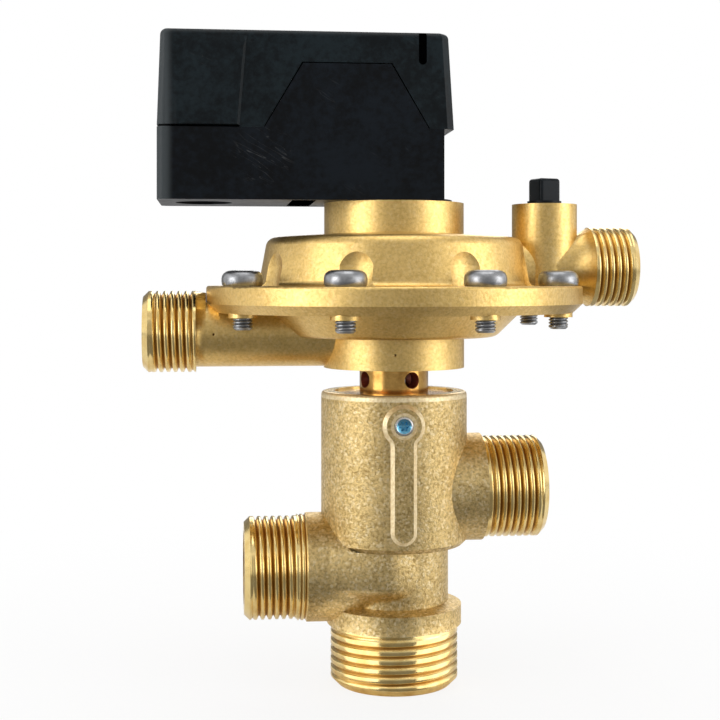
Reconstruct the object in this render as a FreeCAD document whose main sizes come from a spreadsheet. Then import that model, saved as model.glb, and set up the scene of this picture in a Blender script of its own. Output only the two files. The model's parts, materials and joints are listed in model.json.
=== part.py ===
import FreeCAD, Part
import Sketcher
import math
import os
import re

# A hydraulic diverter valve of a wall boiler, in millimetres.
# The origin is the centre of the bottom port's end face, +Z runs up the spindle,
# +X points to the right-hand ports and -Y is the front with the lock screw.

sizes = {
    # Valve body casting, bottom port upwards
    "bottomThreadRadius": 16.62,
    "bottomThreadLength": 15.6,
    "bottomChamfer": 1.8,
    "bottomCollarRadius": 17.6,
    "bottomCollarHeight": 4.9,
    "collarSlopeHeight": 1.0,
    "bodyNeckRadius": 14.2,
    "bodyNeckHeight": 14.9,
    "barrelRadius": 19.1,
    "barrelHeight": 39.7,
    "barrelCorner": 1.2,
    "rimChamfer": 1.6,
    "bottomBoreRadius": 12.8,
    "seatOpeningRadius": 8.0,
    "seatThickness": 3.0,
    "middleBoreRadius": 11.2,
    "ledgeRise": 3.6,
    "barrelBoreRadius": 15.6,
    # Side ports of the valve body
    "sideThreadRadius": 13.22,
    "sideNeckRadius": 14.0,
    "sideRingRadius": 13.6,
    "sideBoreRadius": 9.4,
    "portChamfer": 1.4,
    "leftPortReach": 39.3,
    "leftThreadLength": 13.7,
    "leftRingWidth": 2.4,
    "rightPortReach": 38.8,
    "rightThreadLength": 16.0,
    "rightPortRise": 10.6,
    # Keyhole pad and lock screw
    "padHeight": 1.1,
    "padHeadRadius": 5.35,
    "padBarWidth": 6.65,
    "padBarRise": 1.1,
    "padShoulder": 1.8,
    "padLand": 0.15,
    "lockScrewDepth": 7.5,
    "lockScrewRadius": 2.4,
    "lockRecessRadius": 3.35,
    "lockRecessDepth": 0.5,
    "lockSocketRadius": 1.6,
    "lockSocketDepth": 2.4,
    "lockGrooveDepth": 1.5,
    # Upper seat ring
    "upperSeatThickness": 4.0,
    "faceRingRadius": 13.4,
    # Vent neck
    "plugClearance": 0.5,
    "plugSink": 0.6,
    "ventNeckRadius": 9.0,
    "ventGap": 6.1,
    "weepHoleRadius": 2.15,
    "weepHoleCount": 4,
    "weepHoleTurn": 24.5,
    "weepCavityRadius": 5.5,
    "weepCavityHeight": 5.0,
    "neckSpigotRadius": 8.0,
    "neckSpigotLength": 8.0,
    "grooveOffset": 2.4,
    # Lower housing
    "lowerCollarRadius": 18.4,
    "lowerCollarHeight": 8.1,
    "bowlInset": 16.0,
    "bowlSlope": 6.4,
    "bowlHeight": 6.3,
    "bowlRounding": 3.0,
    "bowlWall": 3.0,
    "floorThickness": 2.9,
    "floorHoleRadius": 4.6,
    "flangeRadius": 49.0,
    "lowerFlangeThickness": 2.6,
    "flangeBevel": 2.5,
    "flangeLip": 0.3,
    "screwBossRadius": 3.6,
    "screwBossHeight": 1.0,
    "inletPipeRadius": 9.1,
    "inletThreadRadius": 10.48,
    "inletThreadLength": 13.5,
    "inletReach": 65.1,
    "inletDrop": 7.5,
    "inletBoreRadius": 6.2,
    "inletBoreEnd": 14.0,
    "milledRelief": 0.4,
    # Upper housing
    "upperFlangeThickness": 4.3,
    "flangeRounding": 0.7,
    "domeInset": 13.5,
    "domeTaper": 2.3,
    "domeHeight": 12.4,
    "domeRounding": 2.6,
    "domeFootRounding": 1.6,
    "roofCrown": 1.0,
    "roofThickness": 4.5,
    "scallopCutter": 8.9,
    "scallopDrop": 7.4,
    "upperCollarRadius": 18.3,
    "upperCollarHeight": 8.1,
    "collarBoreRadius": 14.6,
    "collarFloorRise": 0.6,
    "ductOuterRadius": 7.5,
    "ductRadius": 3.4,
    "bossInset": 8.7,
    "bossRadius": 8.57,
    "outletPipeRadius": 8.5,
    "outletLift": 0.8,
    "outletThreadRadius": 10.48,
    "outletThreadLength": 11.9,
    "outletReach": 63.7,
    "outletBoreRadius": 6.5,
    # Flange screws
    "flangeScrewCount": 8,
    "flangeScrewTurn": 22.5,
    "screwInset": 5.8,
    "flangeScrewRadius": 2.45,
    "flangeHeadRadius": 5.0,
    "flangeHeadHeight": 3.9,
    "flangeHeadRounding": 1.3,
    "flangeScrewTail": 4.0,
    "crossWidth": 1.3,
    "crossLength": 5.2,
    "crossDepth": 1.8,
    # Diaphragm, plates and return spring
    "diaphragmThickness": 1.4,
    "diaphragmInset": 13.0,
    "diaphragmDrop": 2.6,
    "diaphragmRoll": 5.5,
    "plateInset": 1.5,
    "plateThickness": 1.6,
    "washerRadius": 12.0,
    "washerThickness": 1.3,
    "spindleNutRadius": 4.62,
    "spindleNutHeight": 3.0,
    "springRadius": 8.6,
    "springWireRadius": 0.8,
    "springTurns": 4,
    # Spindle and its guide
    "spindleRadius": 3.0,
    "spindleClearance": 0.05,
    "spindleShoulderRadius": 4.2,
    "spindleShoulderHeight": 1.5,
    "spindleTail": 1.0,
    "stroke": 5.0,
    "sealSection": 0.95,
    "ringSection": 1.05,
    "fitClearance": 0.05,
    "holePlay": 0.2,
    "bushRadius": 6.0,
    "bushHeadRadius": 7.6,
    "bushHeadHeight": 3.0,
    # Shutter
    "shutterSealRadius": 9.9,
    "shutterSealThickness": 2.5,
    "shutterHubRadius": 6.5,
    "shutterFlangeRadius": 9.6,
    "shutterFlangeThickness": 1.6,
    "clipRadius": 5.4,
    "clipThickness": 1.5,
    "seatGap": 0.2,
    # Flow regulator
    "stemRadius": 4.7,
    "stemDepth": 6.0,
    "stemRise": 0.9,
    "regulatorFlangeRadius": 4.5,
    "squareWidth": 6.3,
    "squareHeight": 6.0,
    "squareRounding": 0.9,
    "squareTurn": 19,
    "bossGrooveDrop": 6.0,
    # Switch box
    "footThickness": 0.8,
    "footRadius": 15.2,
    "boxSpigotDepth": 4.4,
    "boxSpigotBore": 8.2,
    "boxLeft": 61.1,
    "baseRight": 10.7,
    "boxHalfDepth": 16.5,
    "boxWall": 2.0,
    "baseHeight": 18.0,
    "baseFloorThickness": 2.2,
    "boxCorner": 2.0,
    "coverHeight": 24.3,
    "coverRight": 13.4,
    "coverRightDraft": 1.5,
    "coverLeftDraft": 0.9,
    "coverCorner": 1.9,
    "coverTopRounding": 1.6,
    "leftBlockProud": 0.8,
    "leftBlockEnd": 40.7,
    "leftBlockSlant": 1.8,
    "partingGap": 0.5,
    "tongueLeft": 34.5,
    "tongueRight": 6.8,
    "tongueTopLeft": 24.9,
    "tongueTopRight": 2.7,
    "tongueHeight": 16.1,
    "tongueGap": 0.25,
    "slotLeft": 4.2,
    "slotWidth": 2.0,
    "slotLength": 7.2,
    "slotDepth": 0.9,
    "cableEntryRadius": 7.3,
    "cableEntryReach": 49.6,
    "undersideSlotReach": 27.5,
    "undersideSlotWidth": 6.0,
    "undersideSlotDepth": 1.7,
    "fixingScrewRadius": 1.5,
    "fixingHeadRadius": 2.6,
    "fixingHeadHeight": 2.0,
    "fixingScrewDepth": 6.5,
    "fixingScrewTurn": 45,
    "fixingSlotWidth": 0.7,
    # Microswitches, levers and pusher
    "switchLength": 27.8,
    "switchWidth": 10.3,
    "switchHeight": 15.9,
    "switchOverhang": 3.5,
    "switchLift": 2.0,
    "switchPlateThickness": 3.8,
    "switchPlateClearance": 6.0,
    "switchScrewRadius": 1.5,
    "switchScrewInset": 4.5,
    "switchScrewSpacing": 14.0,
    "switchScrewDrop": 5.0,
    "switchScrewStep": 6.0,
    "switchHeadRadius": 2.7,
    "switchHeadHeight": 1.7,
    "bladeWidth": 6.3,
    "bladeThickness": 0.8,
    "bladeHeight": 7.6,
    "bladeSpacing": 9.0,
    "leverArm": 24.0,
    "leverTip": 3.0,
    "leverWidth": 5.0,
    "leverThickness": 0.6,
    "leverRise": 8.3,
    "leverClearance": 0.4,
    "leverEyeRadius": 1.5,
    "pivotRadius": 0.8,
    "earThickness": 1.2,
    "earClearance": 0.25,
    "earLength": 3.2,
    "buttonReach": 8.0,
    "buttonRadius": 1.2,
    "buttonClearance": 0.2,
    "buttonDrop": 0.6,
    "buttonLength": 5.0,
    "ridgeRadius": 3.0,
    "ridgeHalfLength": 6.8,
    "pusherCap": 1.2,
    "pusherRadius": 5.0,
    "pusherSocketDepth": 4.0,
}

# Heights and reaches that follow from the sizes
places = {
    "bottomCollarTop": "bottomThreadLength + bottomCollarHeight",
    "bodyNeckBottom": "bottomCollarTop + collarSlopeHeight",
    "barrelBottom": "bodyNeckBottom + bodyNeckHeight",
    "barrelTop": "barrelBottom + barrelHeight",
    "seatLedge": "barrelBottom + ledgeRise",
    "upperSeatTop": "seatLedge + upperSeatThickness",
    "leftPortAxis": "(bottomCollarTop + seatLedge) / 2",
    "rightPortAxis": "seatLedge + rightPortRise",
    "padFace": "barrelRadius + padHeight",
    "lockScrewAxis": "barrelTop - lockScrewDepth",
    "padBarEnd": "barrelBottom + barrelCorner + padBarRise + padBarWidth / 2",
    "plugBottom": "rightPortAxis + sideBoreRadius + plugClearance",
    "plugTop": "barrelTop - plugSink",
    "plugRadius": "barrelBoreRadius - fitClearance",
    "lockGrooveRadius": "plugRadius - lockGrooveDepth",
    "ventTop": "barrelTop + ventGap",
    "weepAxis": "barrelTop + ventGap / 2",
    "spigotTop": "ventTop + neckSpigotLength",
    "bowlBottom": "ventTop + lowerCollarHeight",
    "lowerFlangeBottom": "bowlBottom + bowlHeight",
    "bowlRadius": "flangeRadius - bowlInset",
    "bowlFootRadius": "bowlRadius - bowlSlope",
    "screwCircle": "flangeRadius - screwInset",
    "domeBaseRadius": "flangeRadius - domeInset",
    "domeTopRadius": "domeBaseRadius - domeTaper",
    "bossReach": "flangeRadius - bossInset",
    "parting": "lowerFlangeBottom + lowerFlangeThickness",
    "chamberFloor": "bowlBottom + floorThickness",
    "chamberRadius": "bowlRadius - bowlWall",
    "rimFloor": "parting - diaphragmThickness",
    "inletAxis": "parting - inletDrop",
    "upperFlangeTop": "parting + upperFlangeThickness",
    "domeTop": "upperFlangeTop + domeHeight",
    "roofTop": "domeTop + roofCrown",
    "roofUnder": "roofTop - roofThickness",
    "collarFloor": "roofTop + collarFloorRise",
    "collarTop": "roofTop + upperCollarHeight",
    "outletAxis": "parting + outletPipeRadius + outletLift",
    "bossBoreRadius": "stemRadius + fitClearance",
    "stemBottom": "outletAxis - stemDepth",
    "fixingCircle": "(collarBoreRadius + upperCollarRadius) / 2",
    "baseBottom": "collarTop",
    "baseFloorTop": "baseBottom + baseFloorThickness",
    "baseTop": "baseBottom + baseHeight",
    "boxTop": "baseTop + coverHeight",
    "tongueTop": "baseTop + tongueHeight",
    "leverLine": "baseFloorTop + leverRise",
    "leverTilt": "stroke / leverArm * 180 / pi",
    "pusherTop": "leverLine - leverClearance - stroke",
    "ridgeAxis": "pusherTop - ridgeRadius",
    "spindleTop": "ridgeAxis - pusherCap",
    "switchBottom": "leverLine + switchLift",
    "switchTop": "switchBottom + switchHeight",
    "switchStart": "-leverArm - switchOverhang",
    "switchCentre": "switchPlateThickness / 2 + switchWidth / 2",
    "diaphragmRimRadius": "flangeRadius - diaphragmInset",
    "diaphragmCentreRadius": "chamberRadius - diaphragmRoll",
    "plateRadius": "diaphragmCentreRadius - plateInset",
    "diaphragmTop": "parting - diaphragmDrop",
    "diaphragmBottom": "diaphragmTop - diaphragmThickness",
    "plateTop": "diaphragmTop + plateThickness",
    "washerBottom": "diaphragmBottom - washerThickness",
    "lowerSealBottom": "bottomCollarTop + seatGap",
    "lowerSealTop": "lowerSealBottom + shutterSealThickness",
    "upperSealTop": "seatLedge - stroke - seatGap",
    "upperSealBottom": "upperSealTop - shutterSealThickness",
    "spindleBottom": "lowerSealBottom - clipThickness - spindleTail",
    "spindleBore": "spindleRadius + spindleClearance",
    "sealCentre": "spindleBore + sealSection",
    "sealGrooveRadius": "spindleBore + 2 * sealSection + fitClearance",
    "sealGrooveHalf": "sealSection + fitClearance",
    "lowerSealAxis": "plugBottom + grooveOffset",
    "upperSealAxis": "spigotTop - grooveOffset",
    "topSealAxis": "collarFloor - grooveOffset",
    "bushTop": "collarFloor + bushHeadHeight",
    "barrelRingCentre": "barrelBoreRadius - fitClearance - ringSection",
    "barrelRingRoot": "barrelBoreRadius - 2 * fitClearance - 2 * ringSection",
    "ringGrooveHalf": "ringSection + fitClearance",
    "bossRingCentre": "bossBoreRadius - fitClearance - sealSection",
    "bossRingRoot": "bossBoreRadius - 2 * fitClearance - 2 * sealSection",
    "bossRingAxis": "collarTop - bossGrooveDrop",
}

word = re.compile(r"[A-Za-z_]\w*")
doc = FreeCAD.newDocument("DiverterValve")
sheet = doc.addObject("Spreadsheet::Sheet", "Dims")
parts = []
# How far an edge may lie from the place where it is looked for
tolerance = 0.01


def fill_sheet():
    for row, (alias, value) in enumerate(sizes.items(), 1):
        sheet.set(f"A{row}", alias)
        sheet.set(f"B{row}", str(value))
        sheet.setAlias(f"B{row}", alias)
    doc.recompute()


def spell(match):
    name = match.group(0)
    if name in places:
        return "(" + formula(places[name]) + ")"
    if name in sizes:
        return "Dims." + name
    return name


# Turns plain words into an expression on the sheet's cells
def formula(text):
    return word.sub(spell, text)


def value(text):
    return float(sheet.evalExpression(formula(text)))


def new_body(label):
    body = doc.addObject("PartDesign::Body", label)
    body.Label = label
    parts.append(body)
    return body


def origin_of(body, role):
    return next(item for item in body.Origin.OriginFeatures if item.Role == role)


# A closed outline of straight edges whose corners are bound to the sheet
def outline(body, name, corners, shift=None, role="XZ_Plane"):
    sketch = body.newObject("Sketcher::SketchObject", name + "_outline")
    sketch.AttachmentSupport = [(origin_of(body, role), "")]
    sketch.MapMode = "FlatFace"
    for axis, text in (shift or {}).items():
        sketch.setExpression("AttachmentOffset.Base." + axis, formula(text))
    points = [FreeCAD.Vector(value(across), value(along), 0) for across, along in corners]
    for start, end in zip(points, points[1:] + points[:1]):
        sketch.addGeometry(Part.LineSegment(start, end))
    for index, corner in enumerate(corners):
        following = (index + 1) % len(corners)
        sketch.addConstraint(Sketcher.Constraint("Coincident", index, 2, following, 1))
        place = points[index]
        for kind, text, start in (("DistanceX", corner[0], place.x), ("DistanceY", corner[1], place.y)):
            number = sketch.addConstraint(Sketcher.Constraint(kind, index, 1, start))
            sketch.setExpression(f"Constraints[{number}]", formula(text))
    return sketch


# A turned form or a turned cut about the outline's upright or level axis
def turned(body, name, corners, cut=False, level=False, shift=None):
    sketch = outline(body, name, corners, shift)
    kind = "PartDesign::Groove" if cut else "PartDesign::Revolution"
    feature = body.newObject(kind, name)
    feature.Profile = sketch
    feature.ReferenceAxis = (sketch, ["H_Axis" if level else "V_Axis"])
    feature.Angle = 360
    return feature


# A front outline drawn out evenly to both sides of its plane
def drawn(body, name, corners, depth, cut=False, shift=None):
    sketch = outline(body, name, corners, shift)
    kind = "PartDesign::Pocket" if cut else "PartDesign::Pad"
    feature = body.newObject(kind, name)
    feature.Profile = sketch
    feature.SideType = "Symmetric"
    feature.setExpression("Length", formula(depth))
    return feature


headings = {
    "+Z": FreeCAD.Rotation(),
    "+X": FreeCAD.Rotation(FreeCAD.Vector(0, 1, 0), 90),
    "+Y": FreeCAD.Rotation(FreeCAD.Vector(1, 0, 0), -90),
    "-Y": FreeCAD.Rotation(FreeCAD.Vector(1, 0, 0), 90),
}


def place(feature, spot, rotation):
    feature.Placement = FreeCAD.Placement(FreeCAD.Vector(), rotation)
    for axis, text in zip("xyz", spot):
        feature.setExpression("Placement.Base." + axis, formula(text))


def solid(body, name, shape, measures, spot, cut=False, heading="+Z", rotation=None):
    family = "Subtractive" if cut else "Additive"
    feature = body.newObject(f"PartDesign::{family}{shape}", name)
    for measure, text in measures.items():
        feature.setExpression(measure, formula(text))
    place(feature, spot, rotation or headings[heading])
    return feature


def cylinder(body, name, radius, height, spot, cut=False, heading="+Z", rotation=None):
    measures = {"Radius": radius, "Height": height}
    return solid(body, name, "Cylinder", measures, spot, cut, heading, rotation)


def block(body, name, size, spot, cut=False, rotation=None):
    measures = dict(zip(("Length", "Width", "Height"), size))
    return solid(body, name, "Box", measures, spot, cut, rotation=rotation)


def hexagon(body, name, radius, height, spot, cut=False, heading="+Z"):
    feature = solid(body, name, "Prism", {"Circumradius": radius, "Height": height}, spot, cut, heading)
    feature.Polygon = 6
    return feature


def ring_pattern(body, name, features, count):
    pattern = body.newObject("PartDesign::PolarPattern", name)
    pattern.Originals = features
    pattern.Axis = (origin_of(body, "Z_Axis"), [""])
    pattern.Angle = 360
    pattern.setExpression("Occurrences", formula(count))
    body.Tip = pattern
    return pattern


# Rounds or bevels the edges that a test picks from the finished form so far
def dress(body, name, kind, size, picks):
    doc.recompute()
    base = body.Tip
    edges = [f"Edge{number}" for number, edge in enumerate(base.Shape.Edges, 1) if picks(edge)]
    feature = body.newObject("PartDesign::" + kind, name)
    feature.Base = (base, edges)
    feature.setExpression("Radius" if kind == "Fillet" else "Size", formula(size))
    return feature


def near(first, second):
    return abs(first - second) < tolerance


# True for a full circle about the Z axis with this radius and height
def circle_test(radius, height):
    wanted = value(radius)
    level = value(height)

    def picks(edge):
        curve = edge.Curve
        if not isinstance(curve, Part.Circle):
            return False
        on_axis = math.hypot(curve.Center.x, curve.Center.y) < tolerance
        return on_axis and near(curve.Radius, wanted) and near(curve.Center.z, level)
    return picks


# True for an edge whose ends and middle all lie at this place along one axis
def plane_test(axis, text):
    level = value(text)

    def picks(edge):
        middle = edge.valueAt((edge.FirstParameter + edge.LastParameter) / 2)
        spots = [vertex.Point for vertex in edge.Vertexes] + [middle]
        return all(near(getattr(spot, axis), level) for spot in spots)
    return picks


# True for a steep straight edge whose ends both lie between these places across
def rising_test(left, right):
    low = value(left) - tolerance
    high = value(right) + tolerance

    def picks(edge):
        first = edge.Vertexes[0].Point
        last = edge.Vertexes[-1].Point
        within = low < first.x < high and low < last.x < high
        return within and abs(first.z - last.z) > abs(first.x - last.x) + abs(first.y - last.y)
    return picks


# True for a straight edge that runs forward where the pad's head and bar meet
def pad_corner_test():
    half = value("padBarWidth / 2")
    low = value("padBarEnd")
    high = value("lockScrewAxis")

    def picks(edge):
        first = edge.Vertexes[0].Point
        last = edge.Vertexes[-1].Point
        forward = near(first.x, last.x) and near(first.z, last.z) and not near(first.y, last.y)
        return forward and near(abs(first.x), half) and low + tolerance < first.z < high - tolerance
    return picks


def seal_ring(label, centre, section, height, across="0"):
    ring = doc.addObject("Part::Torus", label)
    ring.Label = label
    ring.setExpression("Radius1", formula(centre))
    ring.setExpression("Radius2", formula(section))
    ring.setExpression("Placement.Base.x", formula(across))
    ring.setExpression("Placement.Base.z", formula(height))
    parts.append(ring)


# The two screws that hold the switch box stand on the collar's rim
def fixing_spots():
    across = "-fixingCircle * cos(fixingScrewTurn)"
    inward = "fixingCircle * sin(fixingScrewTurn)"
    return ("front", across, "-" + inward), ("rear", across, inward)


def make_valve_body():
    body = new_body("valve_body")
    turned(body, "body_casting", [
        ("0", "0"),
        ("bottomThreadRadius - bottomChamfer", "0"),
        ("bottomThreadRadius", "bottomChamfer"),
        ("bottomThreadRadius", "bottomThreadLength"),
        ("bottomCollarRadius", "bottomThreadLength"),
        ("bottomCollarRadius", "bottomCollarTop"),
        ("bodyNeckRadius", "bodyNeckBottom"),
        ("bodyNeckRadius", "barrelBottom"),
        ("barrelRadius - barrelCorner", "barrelBottom"),
        ("barrelRadius", "barrelBottom + barrelCorner"),
        ("barrelRadius", "barrelTop - rimChamfer"),
        ("barrelRadius - rimChamfer", "barrelTop"),
        ("0", "barrelTop"),
    ])
    turned(body, "right_port", [
        ("0", "0"),
        ("rightPortReach", "0"),
        ("rightPortReach", "sideThreadRadius - portChamfer"),
        ("rightPortReach - portChamfer", "sideThreadRadius"),
        ("rightPortReach - rightThreadLength", "sideThreadRadius"),
        ("rightPortReach - rightThreadLength", "sideNeckRadius"),
        ("0", "sideNeckRadius"),
    ], level=True, shift={"y": "rightPortAxis"})
    turned(body, "left_port", [
        ("0", "0"),
        ("-leftPortReach", "0"),
        ("-leftPortReach", "sideThreadRadius - portChamfer"),
        ("-leftPortReach + portChamfer", "sideThreadRadius"),
        ("-leftPortReach + leftThreadLength", "sideThreadRadius"),
        ("-leftPortReach + leftThreadLength", "sideRingRadius"),
        ("-leftPortReach + leftThreadLength + leftRingWidth", "sideRingRadius"),
        ("-leftPortReach + leftThreadLength + leftRingWidth", "sideNeckRadius"),
        ("0", "sideNeckRadius"),
    ], level=True, shift={"y": "leftPortAxis"})
    cylinder(body, "pad_head", "padHeadRadius", "padFace", ("0", "0", "lockScrewAxis"), heading="-Y")
    cylinder(body, "pad_end", "padBarWidth / 2", "padFace", ("0", "0", "padBarEnd"), heading="-Y")
    block(body, "pad_bar", ("padBarWidth", "padFace", "lockScrewAxis - padBarEnd"),
          ("-padBarWidth / 2", "-padFace", "padBarEnd"))
    dress(body, "pad_shoulder", "Fillet", "padShoulder", pad_corner_test())
    dress(body, "pad_bevel", "Chamfer", "padHeight - padLand", plane_test("y", "-padFace"))
    turned(body, "spindle_bores", [
        ("0", "0"),
        ("bottomBoreRadius", "0"),
        ("bottomBoreRadius", "bottomCollarTop - seatThickness"),
        ("seatOpeningRadius", "bottomCollarTop - seatThickness"),
        ("seatOpeningRadius", "bottomCollarTop"),
        ("middleBoreRadius", "bottomCollarTop"),
        ("middleBoreRadius", "seatLedge"),
        ("barrelBoreRadius", "seatLedge"),
        ("barrelBoreRadius", "barrelTop"),
        ("0", "barrelTop"),
    ], cut=True)
    cylinder(body, "right_bore", "sideBoreRadius", "rightPortReach", ("0", "0", "rightPortAxis"),
             cut=True, heading="+X")
    cylinder(body, "left_bore", "sideBoreRadius", "leftPortReach", ("-leftPortReach", "0", "leftPortAxis"),
             cut=True, heading="+X")
    cylinder(body, "lock_hole", "lockScrewRadius + fitClearance", "padFace", ("0", "0", "lockScrewAxis"),
             cut=True, heading="-Y")
    cylinder(body, "lock_recess", "lockRecessRadius", "lockRecessDepth",
             ("0", "-padFace + lockRecessDepth", "lockScrewAxis"), cut=True, heading="-Y")


def make_upper_seat():
    body = new_body("upper_seat")
    turned(body, "seat_ring", [
        ("seatOpeningRadius", "seatLedge"),
        ("faceRingRadius - ringGrooveHalf", "seatLedge"),
        ("faceRingRadius - ringGrooveHalf", "seatLedge + 2 * ringSection"),
        ("faceRingRadius + ringGrooveHalf", "seatLedge + 2 * ringSection"),
        ("faceRingRadius + ringGrooveHalf", "seatLedge"),
        ("plugRadius", "seatLedge"),
        ("plugRadius", "upperSeatTop"),
        ("seatOpeningRadius", "upperSeatTop"),
    ])
    seal_ring("seat_o_ring", "faceRingRadius", "ringSection", "seatLedge + ringSection")


def make_vent_neck():
    body = new_body("vent_neck")
    lockHalf = "(lockScrewRadius + holePlay)"
    turned(body, "neck_turning", [
        ("0", "plugBottom"),
        ("plugRadius", "plugBottom"),
        ("plugRadius", "lowerSealAxis - ringGrooveHalf"),
        ("barrelRingRoot", "lowerSealAxis - ringGrooveHalf"),
        ("barrelRingRoot", "lowerSealAxis + ringGrooveHalf"),
        ("plugRadius", "lowerSealAxis + ringGrooveHalf"),
        ("plugRadius", "lockScrewAxis - " + lockHalf),
        ("lockGrooveRadius", "lockScrewAxis - " + lockHalf),
        ("lockGrooveRadius", "lockScrewAxis + " + lockHalf),
        ("plugRadius", "lockScrewAxis + " + lockHalf),
        ("plugRadius", "plugTop"),
        ("ventNeckRadius", "plugTop"),
        ("ventNeckRadius", "ventTop"),
        ("neckSpigotRadius", "ventTop"),
        ("neckSpigotRadius", "spigotTop"),
        ("0", "spigotTop"),
    ])
    turned(body, "spindle_passage", [
        ("0", "plugBottom"),
        ("spindleBore", "plugBottom"),
        ("spindleBore", "lowerSealAxis - sealGrooveHalf"),
        ("sealGrooveRadius", "lowerSealAxis - sealGrooveHalf"),
        ("sealGrooveRadius", "lowerSealAxis + sealGrooveHalf"),
        ("spindleBore", "lowerSealAxis + sealGrooveHalf"),
        ("spindleBore", "weepAxis - weepCavityHeight / 2"),
        ("weepCavityRadius", "weepAxis - weepCavityHeight / 2"),
        ("weepCavityRadius", "weepAxis + weepCavityHeight / 2"),
        ("spindleBore", "weepAxis + weepCavityHeight / 2"),
        ("spindleBore", "upperSealAxis - sealGrooveHalf"),
        ("sealGrooveRadius", "upperSealAxis - sealGrooveHalf"),
        ("sealGrooveRadius", "upperSealAxis + sealGrooveHalf"),
        ("spindleBore", "upperSealAxis + sealGrooveHalf"),
        ("spindleBore", "spigotTop"),
        ("0", "spigotTop"),
    ], cut=True)
    outward = FreeCAD.Rotation(FreeCAD.Vector(0, 0, 1), value("weepHoleTurn"))
    weep = cylinder(body, "weep_hole", "weepHoleRadius", "ventNeckRadius", ("0", "0", "weepAxis"),
                    cut=True, rotation=outward.multiply(headings["+X"]))
    ring_pattern(body, "weep_holes", [weep], "weepHoleCount")
    seal_ring("neck_o_ring", "barrelRingCentre", "ringSection", "lowerSealAxis")
    seal_ring("lower_spindle_seal", "sealCentre", "sealSection", "lowerSealAxis")
    seal_ring("upper_spindle_seal", "sealCentre", "sealSection", "upperSealAxis")


def make_lock_screw():
    body = new_body("lock_screw")
    tip = "(lockGrooveRadius + fitClearance)"
    cylinder(body, "lock_shank", "lockScrewRadius", "padFace - " + tip,
             ("0", "-" + tip, "lockScrewAxis"), heading="-Y")
    hexagon(body, "lock_socket", "lockSocketRadius", "lockSocketDepth",
            ("0", "-padFace + lockSocketDepth", "lockScrewAxis"), cut=True, heading="-Y")


def make_lower_housing():
    body = new_body("lower_housing")
    turned(body, "bowl_casting", [
        ("0", "ventTop"),
        ("lowerCollarRadius", "ventTop"),
        ("lowerCollarRadius", "bowlBottom"),
        ("bowlFootRadius", "bowlBottom"),
        ("bowlRadius", "lowerFlangeBottom"),
        ("flangeRadius - flangeBevel", "lowerFlangeBottom"),
        ("flangeRadius", "parting - flangeLip"),
        ("flangeRadius", "parting"),
        ("0", "parting"),
    ])
    dress(body, "bowl_rounding", "Fillet", "bowlRounding", circle_test("bowlFootRadius", "bowlBottom"))
    turned(body, "inlet_pipe", [
        ("0", "0"),
        ("-inletReach", "0"),
        ("-inletReach", "inletThreadRadius - portChamfer"),
        ("-inletReach + portChamfer", "inletThreadRadius"),
        ("-inletReach + inletThreadLength", "inletThreadRadius"),
        ("-inletReach + inletThreadLength", "inletPipeRadius"),
        ("0", "inletPipeRadius"),
    ], level=True, shift={"y": "inletAxis"})
    # The pipe's top is milled level with the parting, up to a thin rib beside the thread
    plain = "(inletReach - inletThreadLength - milledRelief)"
    block(body, "milled_face", (plain, "inletPipeRadius * 2", "inletPipeRadius"),
          ("-" + plain, "-inletPipeRadius", "parting"), cut=True)
    turned(body, "lower_chamber", [
        ("0", "ventTop"),
        ("neckSpigotRadius + fitClearance", "ventTop"),
        ("neckSpigotRadius + fitClearance", "spigotTop"),
        ("floorHoleRadius", "spigotTop"),
        ("floorHoleRadius", "chamberFloor"),
        ("bowlFootRadius - bowlWall", "chamberFloor"),
        ("chamberRadius", "lowerFlangeBottom"),
        ("chamberRadius", "rimFloor"),
        ("diaphragmRimRadius + fitClearance", "rimFloor"),
        ("diaphragmRimRadius + fitClearance", "parting"),
        ("0", "parting"),
    ], cut=True)
    cylinder(body, "inlet_bore", "inletBoreRadius", "inletReach - inletBoreEnd",
             ("-inletReach", "0", "inletAxis"), cut=True, heading="+X")
    spot = ("screwCircle * cos(flangeScrewTurn)", "screwCircle * sin(flangeScrewTurn)")
    boss = cylinder(body, "screw_boss", "screwBossRadius", "screwBossHeight + lowerFlangeThickness / 2",
                    spot + ("lowerFlangeBottom - screwBossHeight",))
    ring_pattern(body, "screw_bosses", [boss], "flangeScrewCount")
    hole = cylinder(body, "tapped_hole", "flangeScrewRadius + fitClearance",
                    "screwBossHeight + lowerFlangeThickness",
                    spot + ("lowerFlangeBottom - screwBossHeight",), cut=True)
    ring_pattern(body, "tapped_holes", [hole], "flangeScrewCount")


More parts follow.
